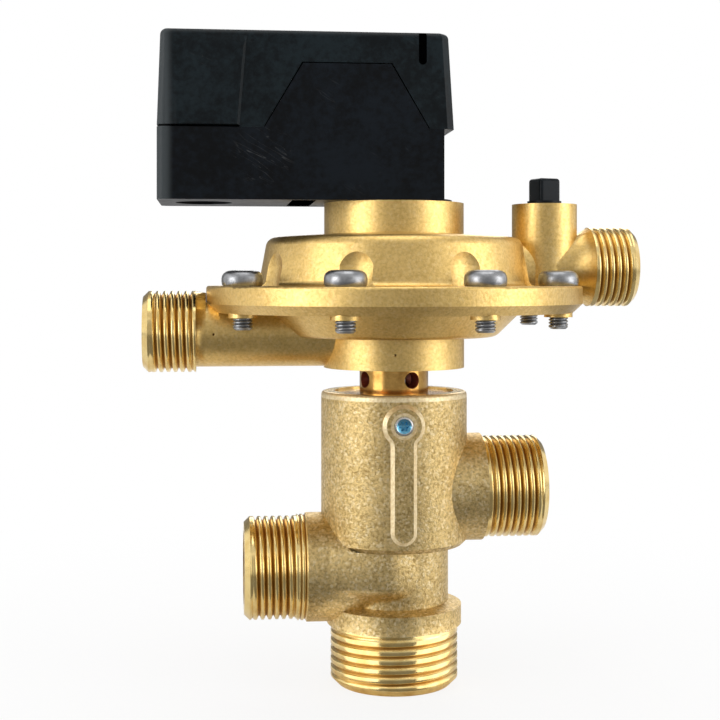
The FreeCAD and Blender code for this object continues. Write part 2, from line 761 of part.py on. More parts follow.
def make_upper_housing():
    body = new_body("upper_housing")
    turned(body, "dome_casting", [
        ("0", "parting"),
        ("flangeRadius", "parting"),
        ("flangeRadius", "upperFlangeTop"),
        ("domeBaseRadius", "upperFlangeTop"),
        ("domeTopRadius", "domeTop"),
        ("upperCollarRadius", "roofTop"),
        ("upperCollarRadius", "collarTop"),
        ("0", "collarTop"),
    ])
    dress(body, "dome_rounding", "Fillet", "domeRounding", circle_test("domeTopRadius", "domeTop"))
    dress(body, "flange_rounding", "Fillet", "flangeRounding", circle_test("flangeRadius", "upperFlangeTop"))
    dress(body, "dome_foot", "Fillet", "domeFootRounding", circle_test("domeBaseRadius", "upperFlangeTop"))
    # The scallops give the screwdriver room, so their cutter widens upwards with the dome's flank
    spot = ("screwCircle * cos(flangeScrewTurn)", "screwCircle * sin(flangeScrewTurn)")
    rise = "(domeHeight - scallopDrop)"
    wide = f"(scallopCutter + domeTaper * {rise} / domeHeight)"
    trunk = solid(body, "scallop_trunk", "Cone",
                  {"Radius1": "scallopCutter", "Radius2": wide, "Height": rise},
                  spot + ("upperFlangeTop",), cut=True)
    crown = solid(body, "scallop_crown", "Sphere", {"Radius": wide, "Angle1": "0"},
                  spot + ("domeTop - scallopDrop",), cut=True)
    ring_pattern(body, "scallops", [trunk, crown], "flangeScrewCount")
    cylinder(body, "regulator_boss", "bossRadius", "collarTop - parting - upperFlangeThickness / 2",
             ("bossReach", "0", "parting + upperFlangeThickness / 2"))
    cylinder(body, "duct_crown", "ductOuterRadius", "bossReach - chamberRadius + bowlWall",
             ("chamberRadius - bowlWall", "0", "outletAxis"), heading="+X")
    block(body, "duct_web", ("bossReach - chamberRadius + bowlWall", "ductOuterRadius * 2",
                             "outletAxis - parting - upperFlangeThickness / 2"),
          ("chamberRadius - bowlWall", "-ductOuterRadius", "parting + upperFlangeThickness / 2"))
    turned(body, "outlet_pipe", [
        ("bossReach", "0"),
        ("outletReach", "0"),
        ("outletReach", "outletThreadRadius - portChamfer"),
        ("outletReach - portChamfer", "outletThreadRadius"),
        ("outletReach - outletThreadLength", "outletThreadRadius"),
        ("outletReach - outletThreadLength", "outletPipeRadius"),
        ("bossReach", "outletPipeRadius"),
    ], level=True, shift={"y": "outletAxis"})
    turned(body, "upper_chamber", [
        ("0", "parting"),
        ("chamberRadius", "parting"),
        ("chamberRadius", "roofUnder"),
        ("bushRadius + fitClearance", "roofUnder"),
        ("bushRadius + fitClearance", "collarFloor"),
        ("collarBoreRadius", "collarFloor"),
        ("collarBoreRadius", "collarTop"),
        ("0", "collarTop"),
    ], cut=True)
    turned(body, "outlet_bore", [
        ("chamberRadius - bowlWall", "0"),
        ("outletReach", "0"),
        ("outletReach", "outletBoreRadius"),
        ("bossReach + bossBoreRadius + fitClearance", "outletBoreRadius"),
        ("bossReach + bossBoreRadius + fitClearance", "ductRadius"),
        ("chamberRadius - bowlWall", "ductRadius"),
    ], cut=True, level=True, shift={"y": "outletAxis"})
    cylinder(body, "regulator_bore", "bossBoreRadius", "collarTop - stemBottom",
             ("bossReach", "0", "stemBottom"), cut=True)
    hole = cylinder(body, "screw_hole", "flangeScrewRadius + holePlay", "upperFlangeThickness",
                    spot + ("parting",), cut=True)
    ring_pattern(body, "screw_holes", [hole], "flangeScrewCount")
    for label, across, inward in fixing_spots():
        cylinder(body, "fixing_hole_" + label, "fixingScrewRadius + fitClearance", "fixingScrewDepth",
                 (across, inward, "collarTop - fixingScrewDepth"), cut=True)


def make_flange_screws():
    for number in range(int(sizes["flangeScrewCount"])):
        body = new_body(f"flange_screw_{number + 1}")
        angle = f"(flangeScrewTurn + {number} * 360 / flangeScrewCount)"
        across = f"screwCircle * cos{angle}"
        inward = f"screwCircle * sin{angle}"
        turned(body, f"screw_form_{number + 1}", [
            ("0", "lowerFlangeBottom - flangeScrewTail"),
            ("flangeScrewRadius", "lowerFlangeBottom - flangeScrewTail"),
            ("flangeScrewRadius", "upperFlangeTop"),
            ("flangeHeadRadius", "upperFlangeTop"),
            ("flangeHeadRadius", "upperFlangeTop + flangeHeadHeight - flangeHeadRounding"),
            ("flangeHeadRadius - flangeHeadRounding", "upperFlangeTop + flangeHeadHeight"),
            ("0", "upperFlangeTop + flangeHeadHeight"),
        ], shift={"x": across, "z": "-" + inward})
        top = "upperFlangeTop + flangeHeadHeight - crossDepth"
        block(body, f"cross_long_{number + 1}", ("crossLength", "crossWidth", "crossDepth"),
              (across + " - crossLength / 2", inward + " - crossWidth / 2", top), cut=True)
        block(body, f"cross_wide_{number + 1}", ("crossWidth", "crossLength", "crossDepth"),
              (across + " - crossWidth / 2", inward + " - crossLength / 2", top), cut=True)


def make_diaphragm():
    body = new_body("diaphragm")
    turned(body, "diaphragm_form", [
        ("spindleBore", "diaphragmBottom"),
        ("diaphragmCentreRadius", "diaphragmBottom"),
        ("chamberRadius - diaphragmThickness / 2", "rimFloor"),
        ("diaphragmRimRadius", "rimFloor"),
        ("diaphragmRimRadius", "parting"),
        ("chamberRadius - diaphragmThickness", "parting"),
        ("diaphragmCentreRadius - diaphragmThickness / 2", "diaphragmTop"),
        ("spindleBore", "diaphragmTop"),
    ])
    plate = new_body("diaphragm_plate")
    turned(plate, "plate_form", [
        ("spindleBore", "diaphragmTop"),
        ("plateRadius", "diaphragmTop"),
        ("plateRadius", "plateTop"),
        ("spindleBore", "plateTop"),
    ])
    washer = new_body("diaphragm_washer")
    turned(washer, "washer_form", [
        ("spindleBore", "washerBottom"),
        ("washerRadius", "washerBottom"),
        ("washerRadius", "diaphragmBottom"),
        ("spindleBore", "diaphragmBottom"),
    ])
    nut = new_body("spindle_nut")
    hexagon(nut, "nut_form", "spindleNutRadius", "spindleNutHeight", ("0", "0", "plateTop"))
    cylinder(nut, "nut_hole", "spindleBore", "spindleNutHeight", ("0", "0", "plateTop"), cut=True)


def make_return_spring():
    rise = "roofUnder - plateTop - 2 * springWireRadius - 2 * fitClearance"
    bottom = "plateTop + springWireRadius + fitClearance"
    coil = doc.addObject("Part::Helix", "spring_coil")
    coil.setExpression("Radius", formula("springRadius"))
    coil.setExpression("Height", formula(rise))
    coil.setExpression("Pitch", formula("(" + rise + ") / springTurns"))
    coil.setExpression("Placement.Base.z", formula(bottom))
    wire = doc.addObject("Part::Circle", "spring_wire")
    wire.setExpression("Radius", formula("springWireRadius"))
    place(wire, ("springRadius", "0", bottom), headings["-Y"])
    doc.recompute()
    spring = doc.addObject("Part::Sweep", "return_spring")
    spring.Label = "return_spring"
    spring.Sections = [wire]
    spring.Spine = (coil, ["Edge1"])
    spring.Solid = True
    spring.Frenet = True
    parts.append(spring)


def make_spindle():
    body = new_body("spindle")
    turned(body, "spindle_form", [
        ("0", "spindleBottom"),
        ("spindleRadius", "spindleBottom"),
        ("spindleRadius", "washerBottom - spindleShoulderHeight"),
        ("spindleShoulderRadius", "washerBottom - spindleShoulderHeight"),
        ("spindleShoulderRadius", "washerBottom"),
        ("spindleRadius", "washerBottom"),
        ("spindleRadius", "spindleTop"),
        ("0", "spindleTop"),
    ])


def make_top_guide():
    body = new_body("top_guide_bush")
    turned(body, "bush_form", [
        ("spindleBore", "roofUnder"),
        ("bushRadius", "roofUnder"),
        ("bushRadius", "collarFloor"),
        ("bushHeadRadius", "collarFloor"),
        ("bushHeadRadius", "bushTop"),
        ("spindleBore", "bushTop"),
        ("spindleBore", "topSealAxis + sealGrooveHalf"),
        ("sealGrooveRadius", "topSealAxis + sealGrooveHalf"),
        ("sealGrooveRadius", "topSealAxis - sealGrooveHalf"),
        ("spindleBore", "topSealAxis - sealGrooveHalf"),
    ])
    seal_ring("top_spindle_seal", "sealCentre", "sealSection", "topSealAxis")


def make_disc(label, radius, bottom, top):
    body = new_body(label)
    turned(body, label + "_form", [
        ("spindleBore", bottom),
        (radius, bottom),
        (radius, top),
        ("spindleBore", top),
    ])


def make_shutter():
    make_disc("lower_shutter_seal", "shutterSealRadius", "lowerSealBottom", "lowerSealTop")
    make_disc("upper_shutter_seal", "shutterSealRadius", "upperSealBottom", "upperSealTop")
    make_disc("lower_shutter_clip", "clipRadius", "lowerSealBottom - clipThickness", "lowerSealBottom")
    make_disc("upper_shutter_clip", "clipRadius", "upperSealTop", "upperSealTop + clipThickness")
    hub = new_body("shutter_hub")
    turned(hub, "hub_form", [
        ("spindleBore", "lowerSealTop"),
        ("shutterFlangeRadius", "lowerSealTop"),
        ("shutterFlangeRadius", "lowerSealTop + shutterFlangeThickness"),
        ("shutterHubRadius", "lowerSealTop + shutterFlangeThickness"),
        ("shutterHubRadius", "upperSealBottom - shutterFlangeThickness"),
        ("shutterFlangeRadius", "upperSealBottom - shutterFlangeThickness"),
        ("shutterFlangeRadius", "upperSealBottom"),
        ("spindleBore", "upperSealBottom"),
    ])


def make_flow_regulator():
    body = new_body("flow_regulator")
    turned(body, "regulator_stem", [
        ("0", "stemBottom + fitClearance"),
        ("stemRadius", "stemBottom + fitClearance"),
        ("stemRadius", "bossRingAxis - sealGrooveHalf"),
        ("bossRingRoot", "bossRingAxis - sealGrooveHalf"),
        ("bossRingRoot", "bossRingAxis + sealGrooveHalf"),
        ("stemRadius", "bossRingAxis + sealGrooveHalf"),
        ("stemRadius", "collarTop - stemRise"),
        ("regulatorFlangeRadius", "collarTop - stemRise"),
        ("regulatorFlangeRadius", "collarTop + stemRise"),
        ("0", "collarTop + stemRise"),
    ], shift={"x": "bossReach"})
    # The square turns about its own middle, so its first corner is half a side back along both turned sides
    twist = FreeCAD.Rotation(FreeCAD.Vector(0, 0, 1), value("squareTurn"))
    across = "bossReach - squareWidth / 2 * (cos(squareTurn) - sin(squareTurn))"
    inward = "-squareWidth / 2 * (cos(squareTurn) + sin(squareTurn))"
    block(body, "square_head", ("squareWidth", "squareWidth", "squareHeight"),
          (across, inward, "collarTop + stemRise"), rotation=twist)
    top = plane_test("z", "collarTop + stemRise + squareHeight")
    height = value("squareHeight")
    dress(body, "square_rounding", "Fillet", "squareRounding",
          lambda edge: top(edge) or near(edge.Length, height))
    cylinder(body, "throttle_hole", "ductRadius", "2 * stemRadius",
             ("bossReach - stemRadius", "0", "outletAxis"), cut=True, heading="+X")
    seal_ring("regulator_o_ring", "bossRingCentre", "sealSection", "bossRingAxis", "bossReach")


def make_box_base():
    body = new_body("switch_box_base")
    drawn(body, "base_block", [
        ("-boxLeft", "baseBottom"),
        ("baseRight", "baseBottom"),
        ("baseRight", "baseTop"),
        ("-boxLeft", "baseTop"),
    ], "2 * boxHalfDepth")
    dress(body, "base_corners", "Fillet", "boxCorner", rising_test("-boxLeft", "-boxLeft"))
    drawn(body, "tongue_block", [
        ("-tongueLeft", "baseTop"),
        ("tongueRight", "baseTop"),
        ("-tongueTopRight", "tongueTop"),
        ("-tongueTopLeft", "tongueTop"),
    ], "2 * boxHalfDepth")
    block(body, "base_cavity", ("boxLeft + baseRight - 2 * boxWall", "2 * boxHalfDepth - 2 * boxWall",
                                "tongueTop - baseFloorTop"),
          ("-boxLeft + boxWall", "-boxHalfDepth + boxWall", "baseFloorTop"), cut=True)
    cylinder(body, "box_foot", "footRadius", "footThickness", ("0", "0", "collarTop"))
    cylinder(body, "box_spigot", "collarBoreRadius - fitClearance", "boxSpigotDepth",
             ("0", "0", "collarTop - boxSpigotDepth"))
    # The plate between the switches stands clear of the pusher
    block(body, "switch_plate", ("leverArm + switchOverhang - switchPlateClearance", "switchPlateThickness",
                                 "switchTop - baseFloorTop"),
          ("switchStart", "-switchPlateThickness / 2", "baseFloorTop"))
    cylinder(body, "spindle_opening", "boxSpigotBore", "baseFloorTop - collarTop + boxSpigotDepth",
             ("0", "0", "collarTop - boxSpigotDepth"), cut=True)
    cylinder(body, "cable_entry", "cableEntryRadius", "baseFloorThickness",
             ("-cableEntryReach", "0", "baseBottom"), cut=True)
    block(body, "underside_slot", ("undersideSlotWidth", "2 * boxHalfDepth - 2 * boxWall", "undersideSlotDepth"),
          ("-undersideSlotReach", "-boxHalfDepth + boxWall", "baseBottom"), cut=True)
    for label, across, inward in fixing_spots():
        cylinder(body, "fixing_passage_" + label, "fixingScrewRadius + holePlay", "baseFloorTop - collarTop",
                 (across, inward, "collarTop"), cut=True)
    for number in range(2):
        across, height = switch_screw_spot(number)
        cylinder(body, f"switch_passage_{number + 1}", "switchScrewRadius + fitClearance",
                 "switchPlateThickness", (across, "-switchPlateThickness / 2", height),
                 cut=True, heading="+Y")


def make_box_cover():
    body = new_body("switch_box_cover")
    drawn(body, "cover_block", [
        ("-boxLeft", "baseTop"),
        ("coverRight", "baseTop"),
        ("coverRight - coverRightDraft", "boxTop"),
        ("-boxLeft + coverLeftDraft", "boxTop"),
    ], "2 * boxHalfDepth")
    dress(body, "cover_right_corners", "Chamfer", "coverCorner",
          rising_test("coverRight - coverRightDraft", "coverRight"))
    dress(body, "cover_left_corners", "Fillet", "boxCorner",
          rising_test("-boxLeft", "-boxLeft + coverLeftDraft"))
    dress(body, "cover_top_edge", "Fillet", "coverTopRounding", plane_test("z", "boxTop"))
    proud = "(boxHalfDepth + leftBlockProud)"
    drawn(body, "left_block", [
        ("-boxLeft + boxCorner", "baseTop"),
        ("-leftBlockEnd", "baseTop"),
        ("-leftBlockEnd + leftBlockSlant", "boxTop - coverTopRounding"),
        ("-boxLeft + boxCorner", "boxTop - coverTopRounding"),
    ], "2 * " + proud)
    front = plane_test("y", "-" + proud)
    rear = plane_test("y", proud)
    dress(body, "left_block_bevel", "Chamfer", "leftBlockProud - padLand",
          lambda edge: front(edge) or rear(edge))
    block(body, "parting_gap", ("boxLeft - leftBlockEnd", "2 * " + proud, "partingGap"),
          ("-boxLeft", "-" + proud, "baseTop"), cut=True)
    drawn(body, "tongue_gap", [
        ("-tongueLeft - tongueGap", "baseTop"),
        ("tongueRight + tongueGap", "baseTop"),
        ("-tongueTopRight + tongueGap", "tongueTop + tongueGap"),
        ("-tongueTopLeft - tongueGap", "tongueTop + tongueGap"),
    ], "2 * boxHalfDepth", cut=True)
    block(body, "cover_cavity", ("boxLeft + coverRight - coverRightDraft - coverLeftDraft - 2 * boxWall",
                                 "2 * boxHalfDepth - 2 * boxWall", "coverHeight - boxWall"),
          ("-boxLeft + coverLeftDraft + boxWall", "-boxHalfDepth + boxWall", "baseTop"), cut=True)
    for side, label in (("-boxHalfDepth", "front"), ("boxHalfDepth - slotDepth", "rear")):
        block(body, "slot_" + label, ("slotWidth", "slotDepth", "slotLength"),
              ("slotLeft", side, "boxTop - slotLength"), cut=True)
        cylinder(body, "slot_end_" + label, "slotWidth / 2", "slotDepth",
                 ("slotLeft + slotWidth / 2", side, "boxTop - slotLength"), cut=True, heading="+Y")


def make_fixing_screws():
    for label, across, inward in fixing_spots():
        body = new_body("box_fixing_screw_" + label)
        cylinder(body, "fixing_shank_" + label, "fixingScrewRadius",
                 "baseFloorTop - collarTop + fixingScrewDepth",
                 (across, inward, "collarTop - fixingScrewDepth"))
        cylinder(body, "fixing_head_" + label, "fixingHeadRadius", "fixingHeadHeight",
                 (across, inward, "baseFloorTop"))
        block(body, "fixing_slot_" + label,
              ("2 * fixingHeadRadius", "fixingSlotWidth", "fixingHeadHeight / 2"),
              (across + " - fixingHeadRadius", inward + " - fixingSlotWidth / 2",
               "baseFloorTop + fixingHeadHeight / 2"), cut=True)


def switch_screw_spot(number):
    across = f"switchStart + switchScrewInset + {number} * switchScrewSpacing"
    height = f"switchBottom + switchScrewDrop + {number} * switchScrewStep"
    return across, height


# One switch of each hand; towards is the sign of its side along Y
def make_switch(label, towards):
    centre = f"{towards} * switchCentre"
    inner = f"({centre} - switchWidth / 2)"
    body = new_body("microswitch_" + label)
    block(body, "case_" + label, ("switchLength", "switchWidth", "switchHeight"),
          ("switchStart", inner, "switchBottom"))
    reach = "(leverWidth / 2 + earClearance)"
    for hand, side in (("near", f"-{reach} - earThickness"), ("far", reach)):
        block(body, f"ear_{hand}_{label}", ("earLength", "earThickness", "switchLift + earLength / 2"),
              ("-leverArm - earLength / 2", f"{centre} + {side}", "leverLine - earLength / 2"))
    cylinder(body, "pivot_" + label, "pivotRadius", f"2 * {reach}",
             ("-leverArm", f"{centre} - {reach}", "leverLine"), heading="+Y")
    cylinder(body, "button_well_" + label, "buttonRadius + buttonClearance", "buttonLength + stroke / 2",
             ("-leverArm + buttonReach", centre, "switchBottom"), cut=True)
    for number in range(2):
        across, height = switch_screw_spot(number)
        cylinder(body, f"case_hole_{number + 1}_{label}", "switchScrewRadius + fitClearance", "switchWidth",
                 (across, inner, height), cut=True, heading="+Y")
    lever = new_body("switch_lever_" + label)
    fall = "(leverArm + leverTip) * tan(leverTilt)"
    drawn(lever, "lever_strip_" + label, [
        ("-leverArm", "leverLine"),
        ("leverTip", "leverLine - " + fall),
        ("leverTip", "leverLine - " + fall + " + leverThickness"),
        ("-leverArm", "leverLine + leverThickness"),
    ], "leverWidth", shift={"z": f"-({centre})"})
    cylinder(lever, "lever_eye_" + label, "leverEyeRadius", "leverWidth",
             ("-leverArm", f"{centre} - leverWidth / 2", "leverLine"), heading="+Y")
    cylinder(lever, "lever_hole_" + label, "pivotRadius + spindleClearance", "leverWidth",
             ("-leverArm", f"{centre} - leverWidth / 2", "leverLine"), cut=True, heading="+Y")
    button = new_body("switch_button_" + label)
    cylinder(button, "button_form_" + label, "buttonRadius", "buttonLength",
             ("-leverArm + buttonReach", centre, "leverLine - buttonDrop"))
    for number in range(3):
        blade = new_body(f"switch_blade_{label}_{number + 1}")
        block(blade, f"blade_form_{label}_{number + 1}", ("bladeThickness", "bladeWidth", "bladeHeight"),
              (f"switchStart + switchLength / 2 + {number - 1} * bladeSpacing - bladeThickness / 2",
               f"{centre} - bladeWidth / 2", "switchTop"))


def make_switch_screws():
    outer = "(switchPlateThickness / 2 + switchWidth)"
    for number in range(2):
        across, height = switch_screw_spot(number)
        body = new_body(f"switch_screw_{number + 1}")
        cylinder(body, f"through_shank_{number + 1}", "switchScrewRadius", f"2 * {outer} + switchHeadHeight",
                 (across, "-" + outer, height), heading="+Y")
        cylinder(body, f"through_head_{number + 1}", "switchHeadRadius", "switchHeadHeight",
                 (across, "-" + outer, height), heading="-Y")
        nut = new_body(f"switch_nut_{number + 1}")
        hexagon(nut, f"nut_form_{number + 1}", "switchHeadRadius", "switchHeadHeight",
                (across, outer, height), heading="+Y")
        cylinder(nut, f"nut_bore_{number + 1}", "switchScrewRadius + fitClearance", "switchHeadHeight",
                 (across, outer, height), cut=True, heading="+Y")


def make_pusher():
    body = new_body("switch_pusher")
    cylinder(body, "pusher_stem", "pusherRadius", "pusherSocketDepth + pusherCap",
             ("0", "0", "spindleTop - pusherSocketDepth"))
    block(body, "pusher_bar", ("2 * ridgeRadius", "2 * ridgeHalfLength", "pusherCap"),
          ("-ridgeRadius", "-ridgeHalfLength", "spindleTop"))
    cylinder(body, "pusher_ridge", "ridgeRadius", "2 * ridgeHalfLength",
             ("0", "-ridgeHalfLength", "ridgeAxis"), heading="+Y")
    cylinder(body, "pusher_socket", "spindleBore", "pusherSocketDepth",
             ("0", "0", "spindleTop - pusherSocketDepth"), cut=True)


def check_model():
    doc.recompute()
    for item in doc.Objects:
        if "Invalid" in item.State or "Error" in item.State:
            raise RuntimeError(f"{item.Name} failed: {item.State}")
    for part in parts:
        if part.Shape.isNull() or not part.Shape.isValid():
            raise RuntimeError(f"{part.Label} has no valid shape")


def write_parts():
    os.makedirs("parts", exist_ok=True)
    for part in parts:
        part.Shape.exportStep(f"parts/{part.Label}.step")
        print(f"{part.Label}: {len(part.Shape.Solids)} solid, {part.Shape.Volume:.1f} mm3")


fill_sheet()
make_valve_body()
make_upper_seat()
make_vent_neck()
make_lock_screw()
make_lower_housing()
make_upper_housing()
make_flange_screws()
make_diaphragm()
make_return_spring()
make_spindle()
make_top_guide()
make_shutter()
make_flow_regulator()
make_box_base()
make_box_cover()
make_fixing_screws()
make_switch("front", "-1")
make_switch("rear", "1")
make_switch_screws()
make_pusher()
check_model()
write_parts()
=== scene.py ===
import json
import math
from types import SimpleNamespace as Look

import bmesh
import bpy
from mathutils import Matrix, Vector
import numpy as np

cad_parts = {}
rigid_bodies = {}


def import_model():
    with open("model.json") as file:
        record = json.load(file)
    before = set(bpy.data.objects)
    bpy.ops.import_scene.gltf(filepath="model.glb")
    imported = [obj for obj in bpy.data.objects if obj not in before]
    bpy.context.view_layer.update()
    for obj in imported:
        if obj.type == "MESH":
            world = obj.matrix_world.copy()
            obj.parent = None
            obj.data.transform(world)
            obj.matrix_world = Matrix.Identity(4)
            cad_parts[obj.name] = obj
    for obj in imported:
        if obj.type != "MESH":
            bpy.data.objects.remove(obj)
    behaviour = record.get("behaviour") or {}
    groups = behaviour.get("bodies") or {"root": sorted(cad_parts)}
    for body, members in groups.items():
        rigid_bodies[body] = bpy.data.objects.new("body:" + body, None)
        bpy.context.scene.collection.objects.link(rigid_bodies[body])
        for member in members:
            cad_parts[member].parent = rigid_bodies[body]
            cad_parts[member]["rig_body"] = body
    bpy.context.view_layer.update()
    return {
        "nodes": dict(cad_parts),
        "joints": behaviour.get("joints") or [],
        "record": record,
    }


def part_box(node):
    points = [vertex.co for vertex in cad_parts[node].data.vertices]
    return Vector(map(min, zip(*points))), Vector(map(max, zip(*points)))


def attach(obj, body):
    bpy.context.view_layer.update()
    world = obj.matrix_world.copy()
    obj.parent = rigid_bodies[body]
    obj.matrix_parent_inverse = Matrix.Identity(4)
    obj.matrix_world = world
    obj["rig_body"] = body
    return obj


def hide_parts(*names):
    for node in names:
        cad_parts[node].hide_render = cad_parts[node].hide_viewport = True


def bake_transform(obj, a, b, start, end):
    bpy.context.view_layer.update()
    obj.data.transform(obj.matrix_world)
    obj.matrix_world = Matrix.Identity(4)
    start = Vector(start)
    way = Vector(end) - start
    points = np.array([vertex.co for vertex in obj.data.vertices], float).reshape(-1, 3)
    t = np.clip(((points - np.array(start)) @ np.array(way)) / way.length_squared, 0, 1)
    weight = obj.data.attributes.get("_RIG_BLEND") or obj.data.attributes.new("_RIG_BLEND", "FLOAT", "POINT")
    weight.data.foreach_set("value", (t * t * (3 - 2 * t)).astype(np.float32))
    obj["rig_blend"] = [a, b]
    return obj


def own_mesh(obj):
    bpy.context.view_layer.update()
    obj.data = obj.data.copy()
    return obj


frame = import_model()
scene = bpy.context.scene
millimetre = 0.001
# Points this close to a form, in millimetres, lie on it
touch = 0.03
weldGap = 0.002
print("frame loaded:", len(frame["nodes"]), "nodes")


# Shader values: plain Python sums on sockets add Math nodes
class Val:
    def __init__(self, tree, socket):
        self.tree = tree
        self.socket = socket

    def sum(self, operation, first, second):
        node = addNode(self.tree, "ShaderNodeMath", {"operation": operation}, {0: first, 1: second})
        return Val(self.tree, node.outputs[0])

    def __add__(self, other):
        return self.sum("ADD", self, other)

    def __radd__(self, other):
        return self.sum("ADD", other, self)

    def __sub__(self, other):
        return self.sum("SUBTRACT", self, other)

    def __rsub__(self, other):
        return self.sum("SUBTRACT", other, self)

    def __mul__(self, other):
        return self.sum("MULTIPLY", self, other)


# One way to add any node: its settings come first, then the values or links of its sockets
def addNode(tree, kind, settings=None, sockets=None):
    node = tree.nodes.new(kind)
    for name, setting in (settings or {}).items():
        setattr(node, name, setting)
    for name, given in (sockets or {}).items():
        entry = node.inputs[name]
        if isinstance(given, Val):
            tree.links.new(given.socket, entry)
        else:
            entry.default_value = given
    return node


class Finish:
    def __init__(self, name):
        self.material = bpy.data.materials.new(name)
        self.material.use_nodes = True
        self.tree = self.material.node_tree
        self.tree.nodes.clear()
        self.place = self.out("ShaderNodeTexCoord", "Object")

    def out(self, kind, output, settings=None, sockets=None):
        return Val(self.tree, addNode(self.tree, kind, settings, sockets).outputs[output])

    def noise(self, size, detail=2.0, rough=0.5, warp=0.0, place=None):
        # size is the width of one blotch in millimetres
        sockets = {"Vector": place or self.place, "Scale": 1 / (size * millimetre), "Detail": detail,
                   "Roughness": rough, "Distortion": warp}
        return self.out("ShaderNodeTexNoise", "Fac", None, sockets)

    def cells(self, size):
        sockets = {"Vector": self.place, "Scale": 1 / (size * millimetre)}
        return self.out("ShaderNodeTexVoronoi", "Color", None, sockets)

    def ramp(self, value, low, high):
        return self.out("ShaderNodeMapRange", 0, {"interpolation_type": "SMOOTHSTEP"},
                        {"Value": value, "From Min": low, "From Max": high})

    def distance(self, spot, place=None):
        # how far a point of the surface is from this spot, in millimetres
        centre = tuple(number * millimetre for number in spot)
        length = self.out("ShaderNodeVectorMath", "Value", {"operation": "DISTANCE"},
                          {0: place or self.place, 1: centre})
        return length * (1 / millimetre)

    def attribute(self, name):
        return self.out("ShaderNodeAttribute", "Fac", {"attribute_name": name})

    def mix(self, factor, first, second):
        first = first if isinstance(first, Val) else (*first, 1.0)
        second = second if isinstance(second, Val) else (*second, 1.0)
        return self.out("ShaderNodeMix", 2, {"data_type": "RGBA"}, {0: factor, 6: first, 7: second})

    def bump(self, height, depth, strength=1.0, under=None):
        # depth is the height of the relief in millimetres
        sockets = {"Height": height, "Distance": depth * millimetre, "Strength": strength}
        if under:
            sockets["Normal"] = under
        return self.out("ShaderNodeBump", 0, None, sockets)

    def shade(self, colour, rough, normal, metal=0.0, specular=0.5):
        sockets = {"Base Color": colour, "Roughness": rough, "Metallic": metal,
                   "Specular IOR Level": specular, "Normal": normal}
        shader = Val(self.tree, addNode(self.tree, "ShaderNodeBsdfPrincipled", None, sockets).outputs[0])
        addNode(self.tree, "ShaderNodeOutputMaterial", None, {"Surface": shader})
        return self.material


# Finishes: sizes and reliefs are in millimetres, limits and shares run from 0 to 1
castBrass = {
    "golden": dict(light=(0.83, 0.58, 0.215), dark=(0.62, 0.405, 0.125), glint=(0.95, 0.76, 0.42),
                   relief=0.09, roughLow=0.27, roughHigh=0.42, sparkle=0.25),
    "brown": dict(light=(0.78, 0.58, 0.26), dark=(0.34, 0.225, 0.075), glint=(0.98, 0.85, 0.56),
                  relief=0.20, roughLow=0.33, roughHigh=0.56, sparkle=0.5),
}
castGrain = dict(patch=9.0, patchLimits=(0.32, 0.68), patchShare=0.3, patchRough=0.05, grain=0.75,
                 grainLimits=(0.30, 0.62), grainShare=0.7, fine=0.35, fineShare=0.3, facet=0.8,
                 glintLimits=(0.55, 0.95), swell=5.0, swellRelief=0.12)
# Pits in the casting dent the relief and are painted dark: painted shade inside each pit
castPits = Look(places=[(-47.1, -9.1, 91.2), (-2.0, -18.3, 86.2)], floor=0.21, size=0.42, depth=2,
                colour=(0.10, 0.055, 0.02))


def makeCastBrass(name):
    look = Look(**castBrass[name], **castGrain)
    finish = Finish("cast_brass_" + name)
    patches = finish.ramp(finish.noise(look.patch, detail=4.0, rough=0.6), *look.patchLimits)
    grain = finish.noise(look.grain, detail=3.0, rough=0.65, warp=0.4)
    fine = finish.noise(look.grain * look.fine, rough=0.6)
    # Painted glints: light flecks on random cells of the grain stand in for highlights on its facets
    facets = finish.cells(look.grain * look.facet)
    glint = finish.ramp(facets, *look.glintLimits) * look.sparkle
    tone = finish.ramp(grain, *look.grainLimits) * look.grainShare + patches * look.patchShare
    colour = finish.mix(tone, look.dark, look.light)
    colour = finish.mix(glint, colour, look.glint)
    rough = look.roughHigh - grain * (look.roughHigh - look.roughLow) + patches * look.patchRough
    relief = grain * look.grainShare + fine * look.fineShare
    # Each pit is painted dark, a painted shade in its hollow
    for spot in castPits.places:
        pit = 1 - finish.ramp(finish.distance(spot), castPits.floor, castPits.size)
        colour = finish.mix(pit, colour, castPits.colour)
        relief = relief - pit * castPits.depth
    swell = finish.bump(finish.noise(look.swell), look.swellRelief, strength=0.5)
    normal = finish.bump(relief, look.relief, strength=0.8, under=swell)
    return finish.shade(colour, rough, normal, metal=1.0)


# The groove colour is painted shade in the hollows of threads and rings
turnedBrass = {
    "bright": dict(light=(0.91, 0.70, 0.31), dark=(0.76, 0.52, 0.18), groove=(0.42, 0.21, 0.045),
                   rough=0.15),
    # The neck copy is the same turned brass made darker: painted shade on the vent neck, which sits back
    # under the housings
    "neck": dict(light=(0.60, 0.35, 0.10), dark=(0.38, 0.19, 0.045), groove=(0.30, 0.15, 0.04), rough=0.13),
}
turnedMarks = dict(stain=4.0, stainLimits=(0.35, 0.75), stainRough=0.08, streak=0.5, streakRough=0.05,
                   relief=0.012, grooveLimits=(0.25, 1.0), grooveShare=0.8, grooveRough=0.16)


def makeTurnedBrass(name):
    look = Look(**turnedBrass[name], **turnedMarks)
    finish = Finish("turned_brass_" + name)
    groove = finish.attribute("groove")
    stain = finish.ramp(finish.noise(look.stain, detail=3.0, rough=0.6), *look.stainLimits)
    streak = finish.noise(look.streak, rough=0.6)
    colour = finish.mix(stain, look.light, look.dark)
    # Painted shade: the colour darkens towards the groove colour as the thread's groove deepens
    paintedGrooveShade = finish.ramp(groove, *look.grooveLimits) * look.grooveShare
    colour = finish.mix(paintedGrooveShade, colour, look.groove)
    rough = look.rough + stain * look.stainRough + groove * look.grooveRough
    rough = rough + streak * look.streakRough
    return finish.shade(colour, rough, finish.bump(streak, look.relief, strength=0.5), metal=1.0)
